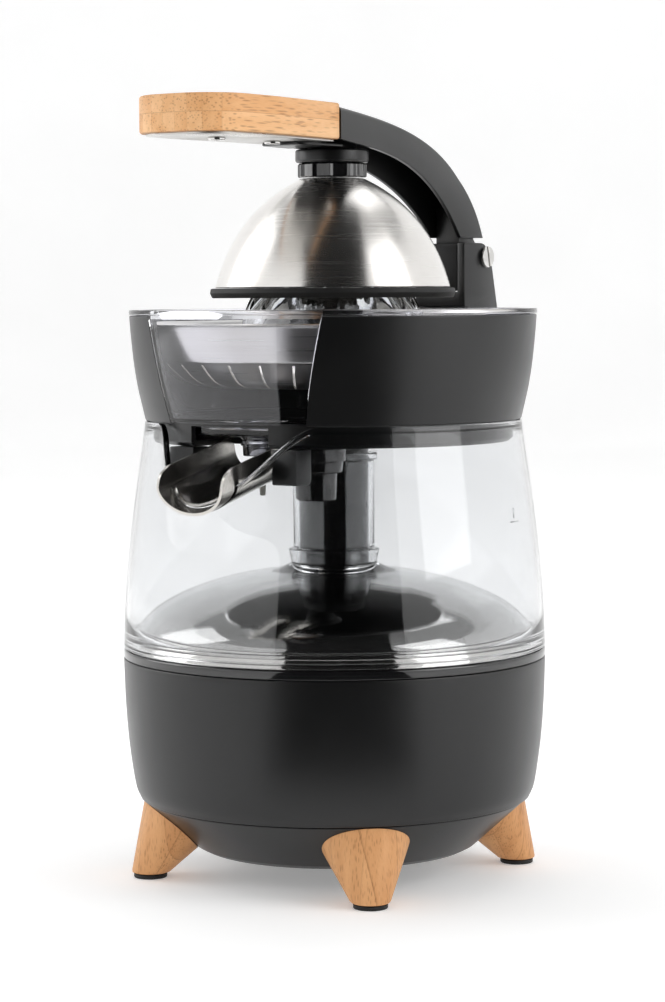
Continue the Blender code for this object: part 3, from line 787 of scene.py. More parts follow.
BLACK_ABS = Moulded("satin_black_abs", "#0A0A0B", "#0F0F10", 0.33)
GLOSS_ABS = Moulded("gloss_black_abs", "#0C0C0D", "#121213", 0.08, depth=0.000004, specular=0.9)
DEEP_ABS = Moulded("matt_black_abs", "#0B0B0C", "#101011", 0.55)
SOFT_RUBBER = Moulded("black_silicone_rubber", "#080808", "#101010", 0.62, grain=0.0009)
NYLON = Moulded("natural_nylon", "#C9C6BC", "#D8D5CB", 0.45)
CLEAR_JUG = ClearPlastic("clear_copolyester", "#F0F1F2")
CLEAR_BOWL = ClearPlastic("clear_bowl_copolyester", "#F0F0FA", wave=0.0002)
CLEAR_CONE = ClearPlastic("clear_reamer_copolyester", "#F4F6F8", wave=0.0002)
DOME_STEEL = SpunSteel("spun_stainless_steel", "#F0EEEB", "#E0DDD9", 0.25, 0.75, pitch=0.0005,
                       depth=0.000003)
BOWL_STEEL = SpunSteel("spun_strainer_steel", "#F2F0EC", "#DEDBD6", 0.30, 0.55)
MIRROR_STEEL = PolishedMetal("mirror_stainless_steel", "#DAD8D5", "#CFCCC8", 0.05)
SPOUT_STEEL = PolishedMetal("buffed_stainless_steel", "#D6D3CE", "#C4C0BA", 0.20, (1.0, 0.06, 1.0))
PLATE_STEEL = PolishedMetal("satin_stainless_steel", "#D2D0CC", "#C4C1BD", 0.34, (1.0, 0.05, 1.0))
CHROME = PolishedMetal("bright_chrome_plate", "#DEDDDB", "#D2D0CD", 0.07)
BRONZE = PolishedMetal("sintered_bronze", "#A88858", "#94744A", 0.38)
ZINC = PolishedMetal("zinc_plated_steel", "#B4B5B8", "#9EA0A4", 0.36)
BOARD = Moulded("green_solder_mask", "#0E3B22", "#12482A", 0.35)
HANDLE_BAMBOO = Bamboo("laminated_bamboo", "#EDBE8C", "#D69C64", "#7A4A22", (0.0, 0.0, 0.0),
                       (0.0031, 0.0, -0.3361))
LEG_BAMBOO = Bamboo("turned_bamboo", "#DDA671", "#C58B56", "#7A4A22", (math.pi / 2.0, 0.0, 0.0),
                    (0.0, 0.0, 0.0), strip=(0.0150, 0.0130), bundle=0.0008, run=0.0055)


# ---------------------------------------------------------------- studio
@dataclass
class Studio:
    """Camera, pale backdrop bowl and soft light."""

    eye: Triple = (0.73366, -1.04996, 0.25952)
    heading: float = 34.945        # degrees round Z
    pitch: float = 4.089           # degrees below level
    roll: float = -0.291
    lens: float = 102.3
    shift: float = -0.0013
    fill: float = 0.44             # even light from all round
    light_aim: Triple = (0.0, 0.0, 0.17)
    bowl_radius: float = 5.2
    bowl_bend: float = 1.5
    bowl_height: float = 4.5
    flag_radius: float = 1.62
    flag_half: tuple[float, float] = (34.0, 15.0)    # half width in degrees at its foot and at its top
    flag_aim: float = 38.0                           # its middle, in degrees from the front towards +X
    flag_top: float = 97.0                           # where it ends, in degrees above level
    flag_floor: float = 0.25                         # share of its length that lies on the floor

    def build(self, shop: Workshop) -> None:
        """Builds the studio.

        Args:
            shop: Makes the finishes.
        """
        self.add_camera()
        self.add_backdrop(shop)
        self.add_flag(shop)
        self.add_lights()

    def add_camera(self) -> None:
        """Sets the scene's camera."""
        data = bpy.data.cameras.new("studio_camera")
        data.lens = self.lens
        data.sensor_width = 36.0
        data.sensor_fit = "AUTO"
        data.shift_x = self.shift
        data.clip_start = 0.05
        camera = placed("studio_camera", data)
        turn = (Matrix.Rotation(math.radians(self.heading), 4, "Z")
                @ Matrix.Rotation(math.radians(90.0 - self.pitch), 4, "X")
                @ Matrix.Rotation(math.radians(self.roll), 4, "Z"))
        camera.matrix_world = Matrix.Translation(self.eye) @ turn
        bpy.context.scene.camera = camera

    def add_backdrop(self, shop: Workshop) -> None:
        """Adds the floor that curves up into a wall all round.

        Args:
            shop: Makes the finishes.
        """
        reach, bend = self.bowl_radius, self.bowl_bend
        profile = [(0.0, 0.0), (reach - bend, 0.0)]
        for i in range(1, 13):
            angle = math.radians(90.0 * i / 12)
            profile.append((reach - bend + bend * math.sin(angle), bend - bend * math.cos(angle)))
        profile.append((reach, self.bowl_height))
        bm = spun(profile, 96, closed=False)
        bmesh.ops.reverse_faces(bm, faces=bm.faces)
        self.add_stage("backdrop_bowl", bm, shop.finish(BackdropPaper("studio_paper", "#F4F4F4", 0.24)))

    def add_flag(self, shop: Workshop) -> None:
        """Adds the dark cloth, on the floor in front and arched over the camera, for shiny pieces to mirror.

        Args:
            shop: Makes the finishes.
        """
        bm = bmesh.new()
        bmesh.ops.create_grid(bm, x_segments=16, y_segments=32, size=0.5)
        for vert in bm.verts:
            share = (vert.co.y + 0.5 - self.flag_floor) / (1.0 - self.flag_floor)
            up = max(share, 0.0)
            rise = math.radians(self.flag_top * up)
            aside = math.radians(self.flag_half[0] + (self.flag_half[1] - self.flag_half[0]) * up)
            aside *= 2.0 * vert.co.x
            radius = self.flag_radius * (1.0 + 2.6 * min(share, 0.0))
            vert.co = Vector((radius * math.sin(aside), -radius * math.cos(aside) * math.cos(rise),
                              0.002 + radius * math.cos(aside) * math.sin(rise)))
        rotated(bm, math.radians(self.flag_aim), "Z")
        card = self.add_stage("dark_flag", bm, shop.finish(Moulded("flag_cloth", "#050505", "#070707", 0.9)))
        card.visible_camera = False
        card.visible_diffuse = False
        card.visible_shadow = False

    def add_stage(self, name: str, bm: bmesh.types.BMesh, material: bpy.types.Material) -> bpy.types.Object:
        """Adds something that isn't part of the object.

        Args:
            name: Its name.
            bm: Its mesh, which is freed.
            material: Its material.

        Returns:
            The new object.
        """
        obj = meshed(name, bm, material)
        return obj

    def add_lights(self) -> None:
        """Adds the softboxes and the even fill."""
        boxes = {
            "softbox_left": ((-1.9, -0.65, 1.15), (1.3, 1.9), 13.0),
            "softbox_right": ((1.95, 0.35, 1.15), (1.3, 1.9), 13.0),
            "softbox_top": ((-0.5, 0.9, 2.2), (2.0, 1.2), 12.0),
        }
        for name, (spot, size, power) in boxes.items():
            data = bpy.data.lights.new(name, "AREA")
            data.shape = "RECTANGLE"
            data.size, data.size_y = size
            data.energy = power
            lamp = placed(name, data)
            aim = Vector(self.light_aim) - Vector(spot)
            lamp.matrix_world = Matrix.Translation(spot) @ aim.to_track_quat("-Z", "Y").to_matrix().to_4x4()
            lamp.visible_camera = False
        world = bpy.data.worlds.new("studio_world")
        world.use_nodes = True
        wire(world.node_tree, world.node_tree.nodes["Background"], {0: srgb("#FFFFFF"), 1: self.fill})
        bpy.context.scene.world = world
        bpy.context.scene.view_settings.view_transform = "Standard"


# ---------------------------------------------------------------- base
@dataclass
class BaseUnit:
    """Motor base: barrel housing, trim ring, mirror dome, bottom cover and cord gland."""

    shop: Workshop
    side: tuple[Point, ...] = ((0.0951, 0.0988), (0.0944, 0.0785), (0.0930, 0.0603), (0.0904, 0.0420),
                               (0.0879, 0.0353))
    wall: float = 0.0030
    shelf_r: float = 0.0800
    dome_r: float = 0.0880
    dome_rise: float = 0.0320
    dome_z: float = 0.1040
    dome_sheet: float = 0.0012
    dome_hole: float = 0.0163
    cone: tuple[Point, ...] = ((0.0870, 0.0350), (0.0640, 0.0140), (0.0605, 0.0122))
    sides: int = 128

    def build(self) -> None:
        """Builds every piece of the base."""
        self.add_housing()
        self.add_ring()
        self.add_dome()
        self.add_cover()
        self.add_gland()

    def add_housing(self) -> None:
        """Adds the barrel housing."""
        outer = smooth_path(self.side, 6)
        inner = [(r - self.wall, z) for r, z in reversed(outer)]
        top = outer[0][1]
        corners = [(outer[0][0], top, 0.0006)] + sharp_points(outer[1:-1]) + [(*outer[-1], 0.0005)]
        corners += [(*inner[0], 0.0004)] + sharp_points(inner[1:-1])
        corners += [(inner[-1][0], top - self.wall, 0.0), (self.shelf_r, top - self.wall, 0.0),
                    (self.shelf_r, top, 0.0004)]
        self.shop.add("barrel_housing", spun(rounded(corners), self.sides), Body.BASE, Slot.BLACK, BLACK_ABS,
                      ("base_housing",))

    def add_ring(self) -> None:
        """Adds the trim ring between the housing and the jug."""
        low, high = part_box("base_trim_ring")
        inside = self.dome_r + 0.0004
        corners = [(high.x, high.z, 0.0010), (high.x, low.z, 0.0004), (inside, low.z, 0.0003),
                   (inside, high.z, 0.0004)]
        self.shop.add("shoulder_ring", spun(rounded(corners), self.sides), Body.BASE, Slot.BLACK, GLOSS_ABS,
                      ("base_trim_ring",))

    def add_dome(self) -> None:
        """Adds the mirror-polished dome under the jug."""
        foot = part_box("motor_dome")[0].z
        sheet = self.dome_sheet
        outer = ellipse_arc(self.dome_r, self.dome_rise, self.dome_z, self.dome_r, self.dome_hole, 40)
        inner = ellipse_arc(self.dome_r - sheet, self.dome_rise - sheet, self.dome_z, self.dome_hole,
                            self.dome_r - sheet, 40)
        profile = [(self.dome_r, foot)] + outer + inner + [(self.dome_r - sheet, foot)]
        self.shop.add("mirror_dome", spun(profile, self.sides), Body.BASE, Slot.POLISHED, MIRROR_STEEL,
                      ("motor_dome",))

    def add_cover(self) -> None:
        """Adds the bottom cover with its stepped underside."""
        rim, bend, flat = self.cone
        foot = flat[1]
        groove = 0.0010
        corners = [(0.0, foot, 0.0)]
        for r in (0.0324, 0.0484):
            corners += [(r, foot, 0.0003), (r + 0.0006, foot + groove, 0.0), (r + 0.0030, foot + groove, 0.0),
                        (r + 0.0036, foot, 0.0003)]
        corners += [(*flat, 0.0010), (*bend, 0.0020), (*rim, 0.0005), (0.0838, 0.0350, 0.0003),
                    (0.0625, 0.0165, 0.0), (0.0590, 0.0150, 0.0), (0.0, 0.0150, 0.0)]
        profile = rounded(corners, closed=False)
        self.shop.add("bottom_cone_cover", spun(profile, self.sides, closed=False), Body.BASE, Slot.BLACK,
                      BLACK_ABS, ("bottom_cover",))

    def add_gland(self) -> None:
        """Adds the rubber gland round the cord inlet at the rear."""
        low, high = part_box("cord_gland")
        radius = (high.x - low.x) / 2.0
        reach = high.y - low.y
        corners = [(radius, 0.0, 0.0), (radius, reach * 0.35, 0.0008), (radius * 0.82, reach * 0.45, 0.0003),
                   (radius * 0.80, reach * 0.62, 0.0), (radius * 0.74, reach, 0.0008),
                   (radius * 0.47, reach, 0.0005), (radius * 0.45, 0.0, 0.0)]
        bm = spun(rounded(corners), 40)
        rotated(bm, -math.pi / 2.0, "X")
        bmesh.ops.translate(bm, vec=(0.0, low.y, (low.z + high.z) / 2.0), verts=bm.verts)
        self.shop.add("inlet_gland", bm, Body.BASE, Slot.RUBBER, SOFT_RUBBER, ("cord_gland",))


@dataclass
class Legs:
    """Four splayed bamboo legs, each seated on the cone of the bottom cover, with a rubber pad."""

    shop: Workshop
    foot_r: float = 0.0085
    foot_reach: float = 0.0598
    foot_z: float = 0.0023
    head_r: float = 0.0245
    head_reach: float = 0.0441
    head_z: float = 0.0345
    chamfer: float = 0.0009
    around: int = 56
    along: int = 14

    def build(self) -> None:
        """Builds the legs and pads."""
        corners = {"front_left": (-1, -1), "front_right": (1, -1), "rear_left": (-1, 1), "rear_right": (1, 1)}
        for place, (sx, sy) in corners.items():
            self.shop.add("bamboo_leg_" + place, self.leg(sx, sy), Body.BASE, Slot.BAMBOO, LEG_BAMBOO,
                          ("leg_" + place,))
            self.add_pad(place)

    def cover_radius(self, z: float) -> float:
        """Radius of the bottom cover at a height, with the seating gap added.

        Args:
            z: Height above the table.

        Returns:
            The radius, or 0 below the cover.
        """
        outline = [(0.0605 + GAP, 0.0122 - GAP), (0.0640 + GAP, 0.0140 - GAP), (0.0870 + GAP, 0.0350)]
        if z < outline[0][1]:
            return 0.0
        for (r0, z0), (r1, z1) in zip(outline, outline[1:]):
            if z <= z1:
                return r0 + (r1 - r0) * (z - z0) / (z1 - z0)
        return outline[-1][0] + (z - outline[-1][1]) * 1.1

    def seat(self, start: Vector, end: Vector) -> Vector:
        """Point where a line from the foot to the head meets the cover.

        Args:
            start: Point at the foot.
            end: Point at the head.

        Returns:
            The meeting point.
        """
        low, high = 0.0, 1.0
        for _ in range(30):
            middle = (low + high) / 2.0
            point = start.lerp(end, middle)
            inside = math.hypot(point.x, point.y) < self.cover_radius(point.z)
            low, high = (low, middle) if inside else (middle, high)
        return start.lerp(end, low)

    def leg(self, sx: int, sy: int) -> bmesh.types.BMesh:
        """One leg.

        Args:
            sx: Side along X.
            sy: Side along Y.

        Returns:
            Its closed mesh.
        """
        foot = Vector((sx * self.foot_reach, sy * self.foot_reach, self.foot_z))
        head = Vector((sx * self.head_reach, sy * self.head_reach, self.head_z))
        rings = [[] for _ in range(self.along + 3)]
        for i in range(self.around):
            angle = FULL_TURN * i / self.around
            way = Vector((math.cos(angle), math.sin(angle), 0.0))
            low = foot + way * self.foot_r
            top = self.seat(low, head + way * self.head_r)
            rings[0].append(foot + way * (self.foot_r - self.chamfer))
            rings[1].append(foot + way * (self.foot_r - self.chamfer * 0.3)
                            + Vector((0, 0, self.chamfer * 0.3)))
            for k in range(self.along + 1):
                share = 0.035 + 0.965 * k / self.along
                rings[k + 2].append(low.lerp(top, share))
        cap = foot.lerp(head, 0.5)
        cap = self.seat(foot, cap + (cap - foot))
        for share in (0.02, 0.35, 0.7):
            inner = []
            for point in rings[self.along + 2]:
                spot = point.lerp(cap, share)
                flat = math.hypot(spot.x, spot.y)
                wanted = max(self.cover_radius(spot.z), flat)
                inner.append(Vector((spot.x * wanted / flat, spot.y * wanted / flat, spot.z)))
            rings.append(inner)
        bm = skinned(rings)
        bmesh.ops.triangulate(bm, faces=[f for f in bm.faces if len(f.verts) > 4])
        return bm

    def add_pad(self, place: str) -> None:
        """Adds the rubber pad under a leg.

        Args:
            place: Which corner.
        """
        low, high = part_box("foot_pad_" + place)
        radius = (high.x - low.x) / 2.0
        centre = ((low.x + high.x) / 2.0, (low.y + high.y) / 2.0)
        corners = [(0.0, high.z, 0.0), (radius, high.z, 0.0003), (radius, low.z, 0.0006),
                   (radius * 0.55, low.z, 0.0002), (radius * 0.50, low.z + 0.0006, 0.0002),
                   (0.0, low.z + 0.0006, 0.0)]
        pad = spun(rounded(corners, closed=False), 36, centre=centre)
        self.shop.add("rubber_pad_" + place, pad, Body.BASE, Slot.RUBBER, SOFT_RUBBER,
                      ("foot_pad_" + place,))


@dataclass
class DriveParts:
    """Column that carries the shaft up through the jug, and what is hidden in the base."""

    shop: Workshop
    flange_r: float = 0.0240
    flange: Point = (0.1235, 0.1270)
    bore: float = 0.0125

    def build(self) -> None:
        """Builds the column and dresses the hidden drive."""
        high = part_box("drive_column")[1]
        radius, top = 0.0157, high.z
        corners = [(radius, top, 0.0012), (radius, self.flange[1], 0.0), (self.flange_r, self.flange[1], 0.0),
                   (self.flange_r, self.flange[0], 0.0), (self.bore, self.flange[0], 0.0),
                   (self.bore, top, 0.0008)]
        self.shop.add("shaft_column", spun(rounded(corners), 72), Body.BASE, Slot.BLACK, GLOSS_ABS,
                      ("drive_column",))
        hidden = {"gearbox_plate": ZINC, "motor": ZINC, "motor_shaft": PLATE_STEEL, "motor_pinion": BRONZE,
                  "output_gear": NYLON, "drive_shaft": PLATE_STEEL, "lower_bearing": CHROME,
                  "upper_bush": NYLON, "start_switch": DEEP_ABS, "switch_post": DEEP_ABS,
                  "control_board": BOARD}
        for node, finish in hidden.items():
            self.shop.dress(node, finish)


# ---------------------------------------------------------------- juice jug
@dataclass
class JuiceJug:
    """Clear jug over the mirror dome, with a low pouring lip and a sleeve round the column."""

    shop: Workshop
    side: tuple[Point, ...] = ((0.0951, 0.1044), (0.0943, 0.1486), (0.0871, 0.1815), (0.0846, 0.2050))
    wall: float = 0.0020
    under: Point = (0.0890, 0.0330)
    over: Point = (0.0910, 0.0350)
    dome_z: float = 0.1040
    sleeve: Point = (0.0163, 0.0183)
    sleeve_top: float = 0.1900
    bead: float = 0.0009
    lip_half: float = 31.0
    lip_drop: float = 0.0320
    lip_reach: float = 0.0145
    lip_start: float = 0.1500
    mark_turn: float = 5.0       # degrees from +X towards the rear
    sides: int = 192

    def build(self) -> None:
        """Builds the jug and its level mark."""
        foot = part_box("juice_jug")[0].z
        outer = bezier(self.side, 30)
        inner = [(r - self.wall, z) for r, z in outer]
        under = ellipse_arc(*self.under, self.dome_z, self.under[0] - 0.0001, self.sleeve[0], 26)
        over = ellipse_arc(*self.over, self.dome_z, 0.0206, 0.0896, 26)
        bore, skin = self.sleeve
        corners = [(*outer[-1], 0.0007)] + sharp_points(list(reversed(outer[2:-1])))
        wide = self.side[0][0]
        corners += [(wide, 0.1070, 0.0), (wide, 0.1062, 0.0003), (0.0947, 0.1056, 0.0002),
                    (wide, 0.1050, 0.0003), (wide, foot, 0.0006), (self.under[0], foot, 0.0004)]
        corners += sharp_points(under)
        corners += [(bore, self.sleeve_top, 0.0005), (skin + 0.0014, self.sleeve_top, 0.0007),
                    (skin + 0.0012, self.sleeve_top - 0.0030, 0.0004),
                    (skin, self.sleeve_top - 0.0036, 0.0004), (skin, 0.1474, 0.0003),
                    (0.0206, 0.1466, 0.0006), (0.0203, 0.1452, 0.0006), (0.0192, 0.1405, 0.0010)]
        corners += sharp_points(over[1:])
        corners += [(0.0926, 0.1082, 0.0008)] + sharp_points(inner[3:-2])
        mouth, rim = inner[-1]
        corners += [(mouth + 0.0001, rim - 0.0032, 0.0006), (mouth - self.bead, rim - 0.0022, 0.0006),
                    (mouth - self.bead, rim, 0.0007)]
        bm = spun(rounded(corners), self.sides)
        self.pull_lip(bm, outer)
        bmesh.ops.recalc_face_normals(bm, faces=bm.faces)
        self.shop.add("clear_jug", bm, Body.JUG, Slot.CLEAR, CLEAR_JUG, ("juice_jug",))
        self.add_mark(outer)

    def wall_radius(self, outer: Sequence[Point], z: float) -> float:
        """Outer radius of the wall at a height.

        Args:
            outer: The wall's outline, upwards.
            z: Height above the table.

        Returns:
            The radius.
        """
        for (r0, z0), (r1, z1) in zip(outer, outer[1:]):
            if z <= z1:
                return r0 + (r1 - r0) * (z - z0) / (z1 - z0)
        return outer[-1][0]

    def pull_lip(self, bm: bmesh.types.BMesh, outer: Sequence[Point]) -> None:
        """Draws the front of the rim down and out into the pouring lip.

        Args:
            bm: The jug's mesh.
            outer: The wall's outline, upwards.
        """
        rim = outer[-1][1]
        half = math.radians(self.lip_half)
        for vert in bm.verts:
            radius = math.hypot(vert.co.x, vert.co.y)
            away = abs(angle_from_front(vert.co.x, vert.co.y))
            if radius < 0.0600 or vert.co.z <= self.lip_start or away >= half:
                continue
            share = 0.5 + 0.5 * math.cos(math.pi * away / half)
            height = (vert.co.z - self.lip_start) / (rim - self.lip_start)
            z = self.lip_start + height * (rim - self.lip_drop * share - self.lip_start)
            grown = radius - self.wall_radius(outer, vert.co.z) + self.wall_radius(outer, z)
            grown += self.lip_reach * share * height ** 1.5
            vert.co = Vector((vert.co.x * grown / radius, vert.co.y * grown / radius, z))

    def add_mark(self, outer: Sequence[Point]) -> None:
        """Adds the raised level mark, a long tick with a short index over it.

        Args:
            outer: The wall's outline, upwards.
        """
        ticks = []
        for z, half_width, half_height in ((0.1618, 0.0034, 0.00025), (0.1655, 0.0003, 0.0022)):
            radius = self.wall_radius(outer, z)
            bm = bmesh.new()
            bmesh.ops.create_cube(bm, size=1.0)
            bmesh.ops.scale(bm, vec=(0.0006, 2.0 * half_width, 2.0 * half_height), verts=bm.verts)
            softened(bm, 0.00012, 1)
            bmesh.ops.translate(bm, vec=(radius + 0.00015, 0.0, z), verts=bm.verts)
            ticks.append(rotated(bm, math.radians(self.mark_turn), "Z"))
        self.shop.add("level_mark", joined(ticks), Body.JUG, Slot.CLEAR, CLEAR_JUG)


# ---------------------------------------------------------------- upper unit
@dataclass(frozen=True)
class FrontWindow:
    """Wedge-shaped window in the housing's front, which the collector fills flush."""

    foot_z: float = 0.2037
    foot_half: float = 0.0345
    growth: float = 0.2174
    turn: float = math.radians(2.6)      # its middle, off the front towards +X

    def edge(self, radius: float, z: float, inset: float = 0.0) -> float:
        """Angle from the front to the window's side edge.

        Args:
            radius: Distance from the drive axis.
            z: Height above the table.
            inset: How far inside the edge.

        Returns:
            The angle in radians.
        """
        half = self.foot_half + self.growth * (z - self.foot_z) - inset
        return math.asin(min(half / radius, 1.0))


WINDOW = FrontWindow()
RING_SIDE: tuple[Point, ...] = ((0.0913, 0.2518), (0.0908, 0.2450), (0.0895, 0.2317), (0.0878, 0.2205),
                                (0.0864, 0.2140), (0.0844, 0.2053))
RING_TOP = RING_SIDE[0][1]


def ring_radius(z: float) -> float:
    """Outer radius of the upper housing at a height.

    Args:
        z: Height above the table.

    Returns:
        The radius of its side there.
    """
    path = smooth_path(RING_SIDE, 6)
    for (r1, z1), (r0, z0) in zip(path, path[1:]):
        if z >= z0:
            return r0 + (r1 - r0) * min((z - z0) / (z1 - z0), 1.0)
    return path[-1][0]


@dataclass
class UpperHousing:
    """Black ring round the collector, its floor, drain nozzle, spout brackets and hinge tower seat."""

    shop: Workshop
    inside: tuple[Point, ...] = ((0.0800, 0.2075), (0.0838, 0.2145), (0.0870, 0.2317), (0.0885, 0.2518))
    spigot: tuple[Point, ...] = ((0.0805, 0.2066), (0.0805, 0.1972), (0.0788, 0.1955), (0.0163, 0.1955))
    floor: float = 0.0026
    slot_half: float = 0.0206
    slot_rear: float = -0.0480
    slot_top: float = 0.2045
    sides: int = 160

    def build(self) -> None:
        """Builds the housing and what hangs below it."""
        self.add_ring()
        self.add_floor()
        self.add_nozzle()
        for side, place in ((-1, "left"), (1, "right")):
            self.add_bracket(side, place)

    def add_ring(self) -> None:
        """Adds the ring, open at the front where the window is."""
        outer = smooth_path(RING_SIDE, 5)
        inner = smooth_path(self.inside, 3)
        corners = [(*outer[0], 0.0006)] + sharp_points(outer[1:-1]) + [(*outer[-1], 0.0006)]
        corners += [(0.0800, outer[-1][1], 0.0)] + sharp_points(inner[1:-1]) + [(*inner[-1], 0.0004)]
        profile = rounded(corners)
        bm = bmesh.new()
        verts = [bm.verts.new((r, 0.0, z)) for r, z in profile]
        edges = [bm.edges.new((verts[i - 1], verts[i])) for i in range(len(verts))]
        sweep = math.radians(300.0)
        bmesh.ops.spin(bm, geom=verts + edges, cent=(0, 0, 0), axis=(0, 0, 1), angle=sweep, steps=self.sides)
        ends = [[], []]
        for edge in bm.edges:
            if len(edge.link_faces) == 1:
                ends[0 if edge.verts[0].co.y < -1e-4 else 1].append(edge)
        for end in ends:
            bmesh.ops.contextual_create(bm, geom=end)
        for vert in bm.verts:
            radius = math.hypot(vert.co.x, vert.co.y)
            share = (math.atan2(vert.co.y, vert.co.x) % FULL_TURN) / sweep
            if share > 1.1:
                share = 0.0
            edge_angle = WINDOW.edge(radius, vert.co.z)
            angle = WINDOW.turn + edge_angle + share * (FULL_TURN - 2.0 * edge_angle)
            vert.co = at_angle(radius, angle, vert.co.z)
        bmesh.ops.recalc_face_normals(bm, faces=bm.faces)
        self.shop.add("housing_ring", bm, Body.UPPER, Slot.BLACK, BLACK_ABS, ("upper_housing",))

    def add_floor(self) -> None:
        """Adds the spigot and floor that drop into the jug, cut open for the spout."""
        corners = [(*p, r) for p, r in zip(self.spigot, (0.0, 0.0004, 0.0010, 0.0))]
        path = rounded(corners, closed=False)
        (wide, level), narrow = self.spigot[2], self.spigot[3][0]
        path = path[:-1] + [(wide + (narrow - wide) * i / 10, level) for i in range(2, 11)]
        bm = spun(path, self.sides, closed=False)
        cuts = (((self.slot_half, 0, 0), (1, 0, 0)), ((-self.slot_half, 0, 0), (1, 0, 0)),
                ((0, self.slot_rear, 0), (0, 1, 0)), ((0, 0, self.slot_top), (0, 0, 1)))
        for spot, way in cuts:
            bmesh.ops.bisect_plane(bm, geom=bm.verts[:] + bm.edges[:] + bm.faces[:],
                                   plane_co=spot, plane_no=way)
        gone = []
        for face in bm.faces:
            middle = face.calc_center_median()
            if abs(middle.x) < self.slot_half and middle.y < self.slot_rear and middle.z < self.slot_top:
                gone.append(face)
        bmesh.ops.delete(bm, geom=gone, context="FACES")
        walled(bm, self.floor)
        self.shop.add("housing_floor", bm, Body.UPPER, Slot.BLACK, BLACK_ABS)

    def add_nozzle(self) -> None:
        """Adds the stepped drain nozzle beside the spout."""
        low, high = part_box("drain_nozzle")
        centre = ((low.x + high.x) / 2.0, (low.y + high.y) / 2.0)
        wide = (high.x - low.x) / 2.0
        step = high.z - 0.0117
        corners = [(0.0, high.z, 0.0), (wide, high.z, 0.0003), (wide, step + 0.0050, 0.0006),
                   (wide - 0.0012, step + 0.0046, 0.0003), (wide - 0.0014, step, 0.0012),
                   (0.0093, step - 0.0003, 0.0004), (0.0088, low.z, 0.0016), (0.0062, low.z, 0.0006),
                   (0.0060, low.z + 0.0050, 0.0004), (0.0, low.z + 0.0050, 0.0)]
        bm = spun(rounded(corners, closed=False), 48, centre=centre)
        self.shop.add("stepped_nozzle", bm, Body.UPPER, Slot.BLACK, GLOSS_ABS, ("drain_nozzle",))

    def add_bracket(self, side: int, place: str) -> None:
        """Adds one spout bracket.

        Args:
            side: -1 for left and 1 for right; not used.
            place: Its name.
        """
        low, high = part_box("spout_bracket_" + place)
        outline = rounded([(low.y, high.z, 0.0), (high.y, high.z, 0.0), (high.y, low.z, 0.0025),
                           (low.y, low.z, 0.0010)])
        bm = softened(pulled(outline, "X", low.x, high.x), 0.0005)
        self.shop.add("bracket_" + place, bm, Body.UPPER, Slot.BLACK, BLACK_ABS, ("spout_bracket_" + place,))


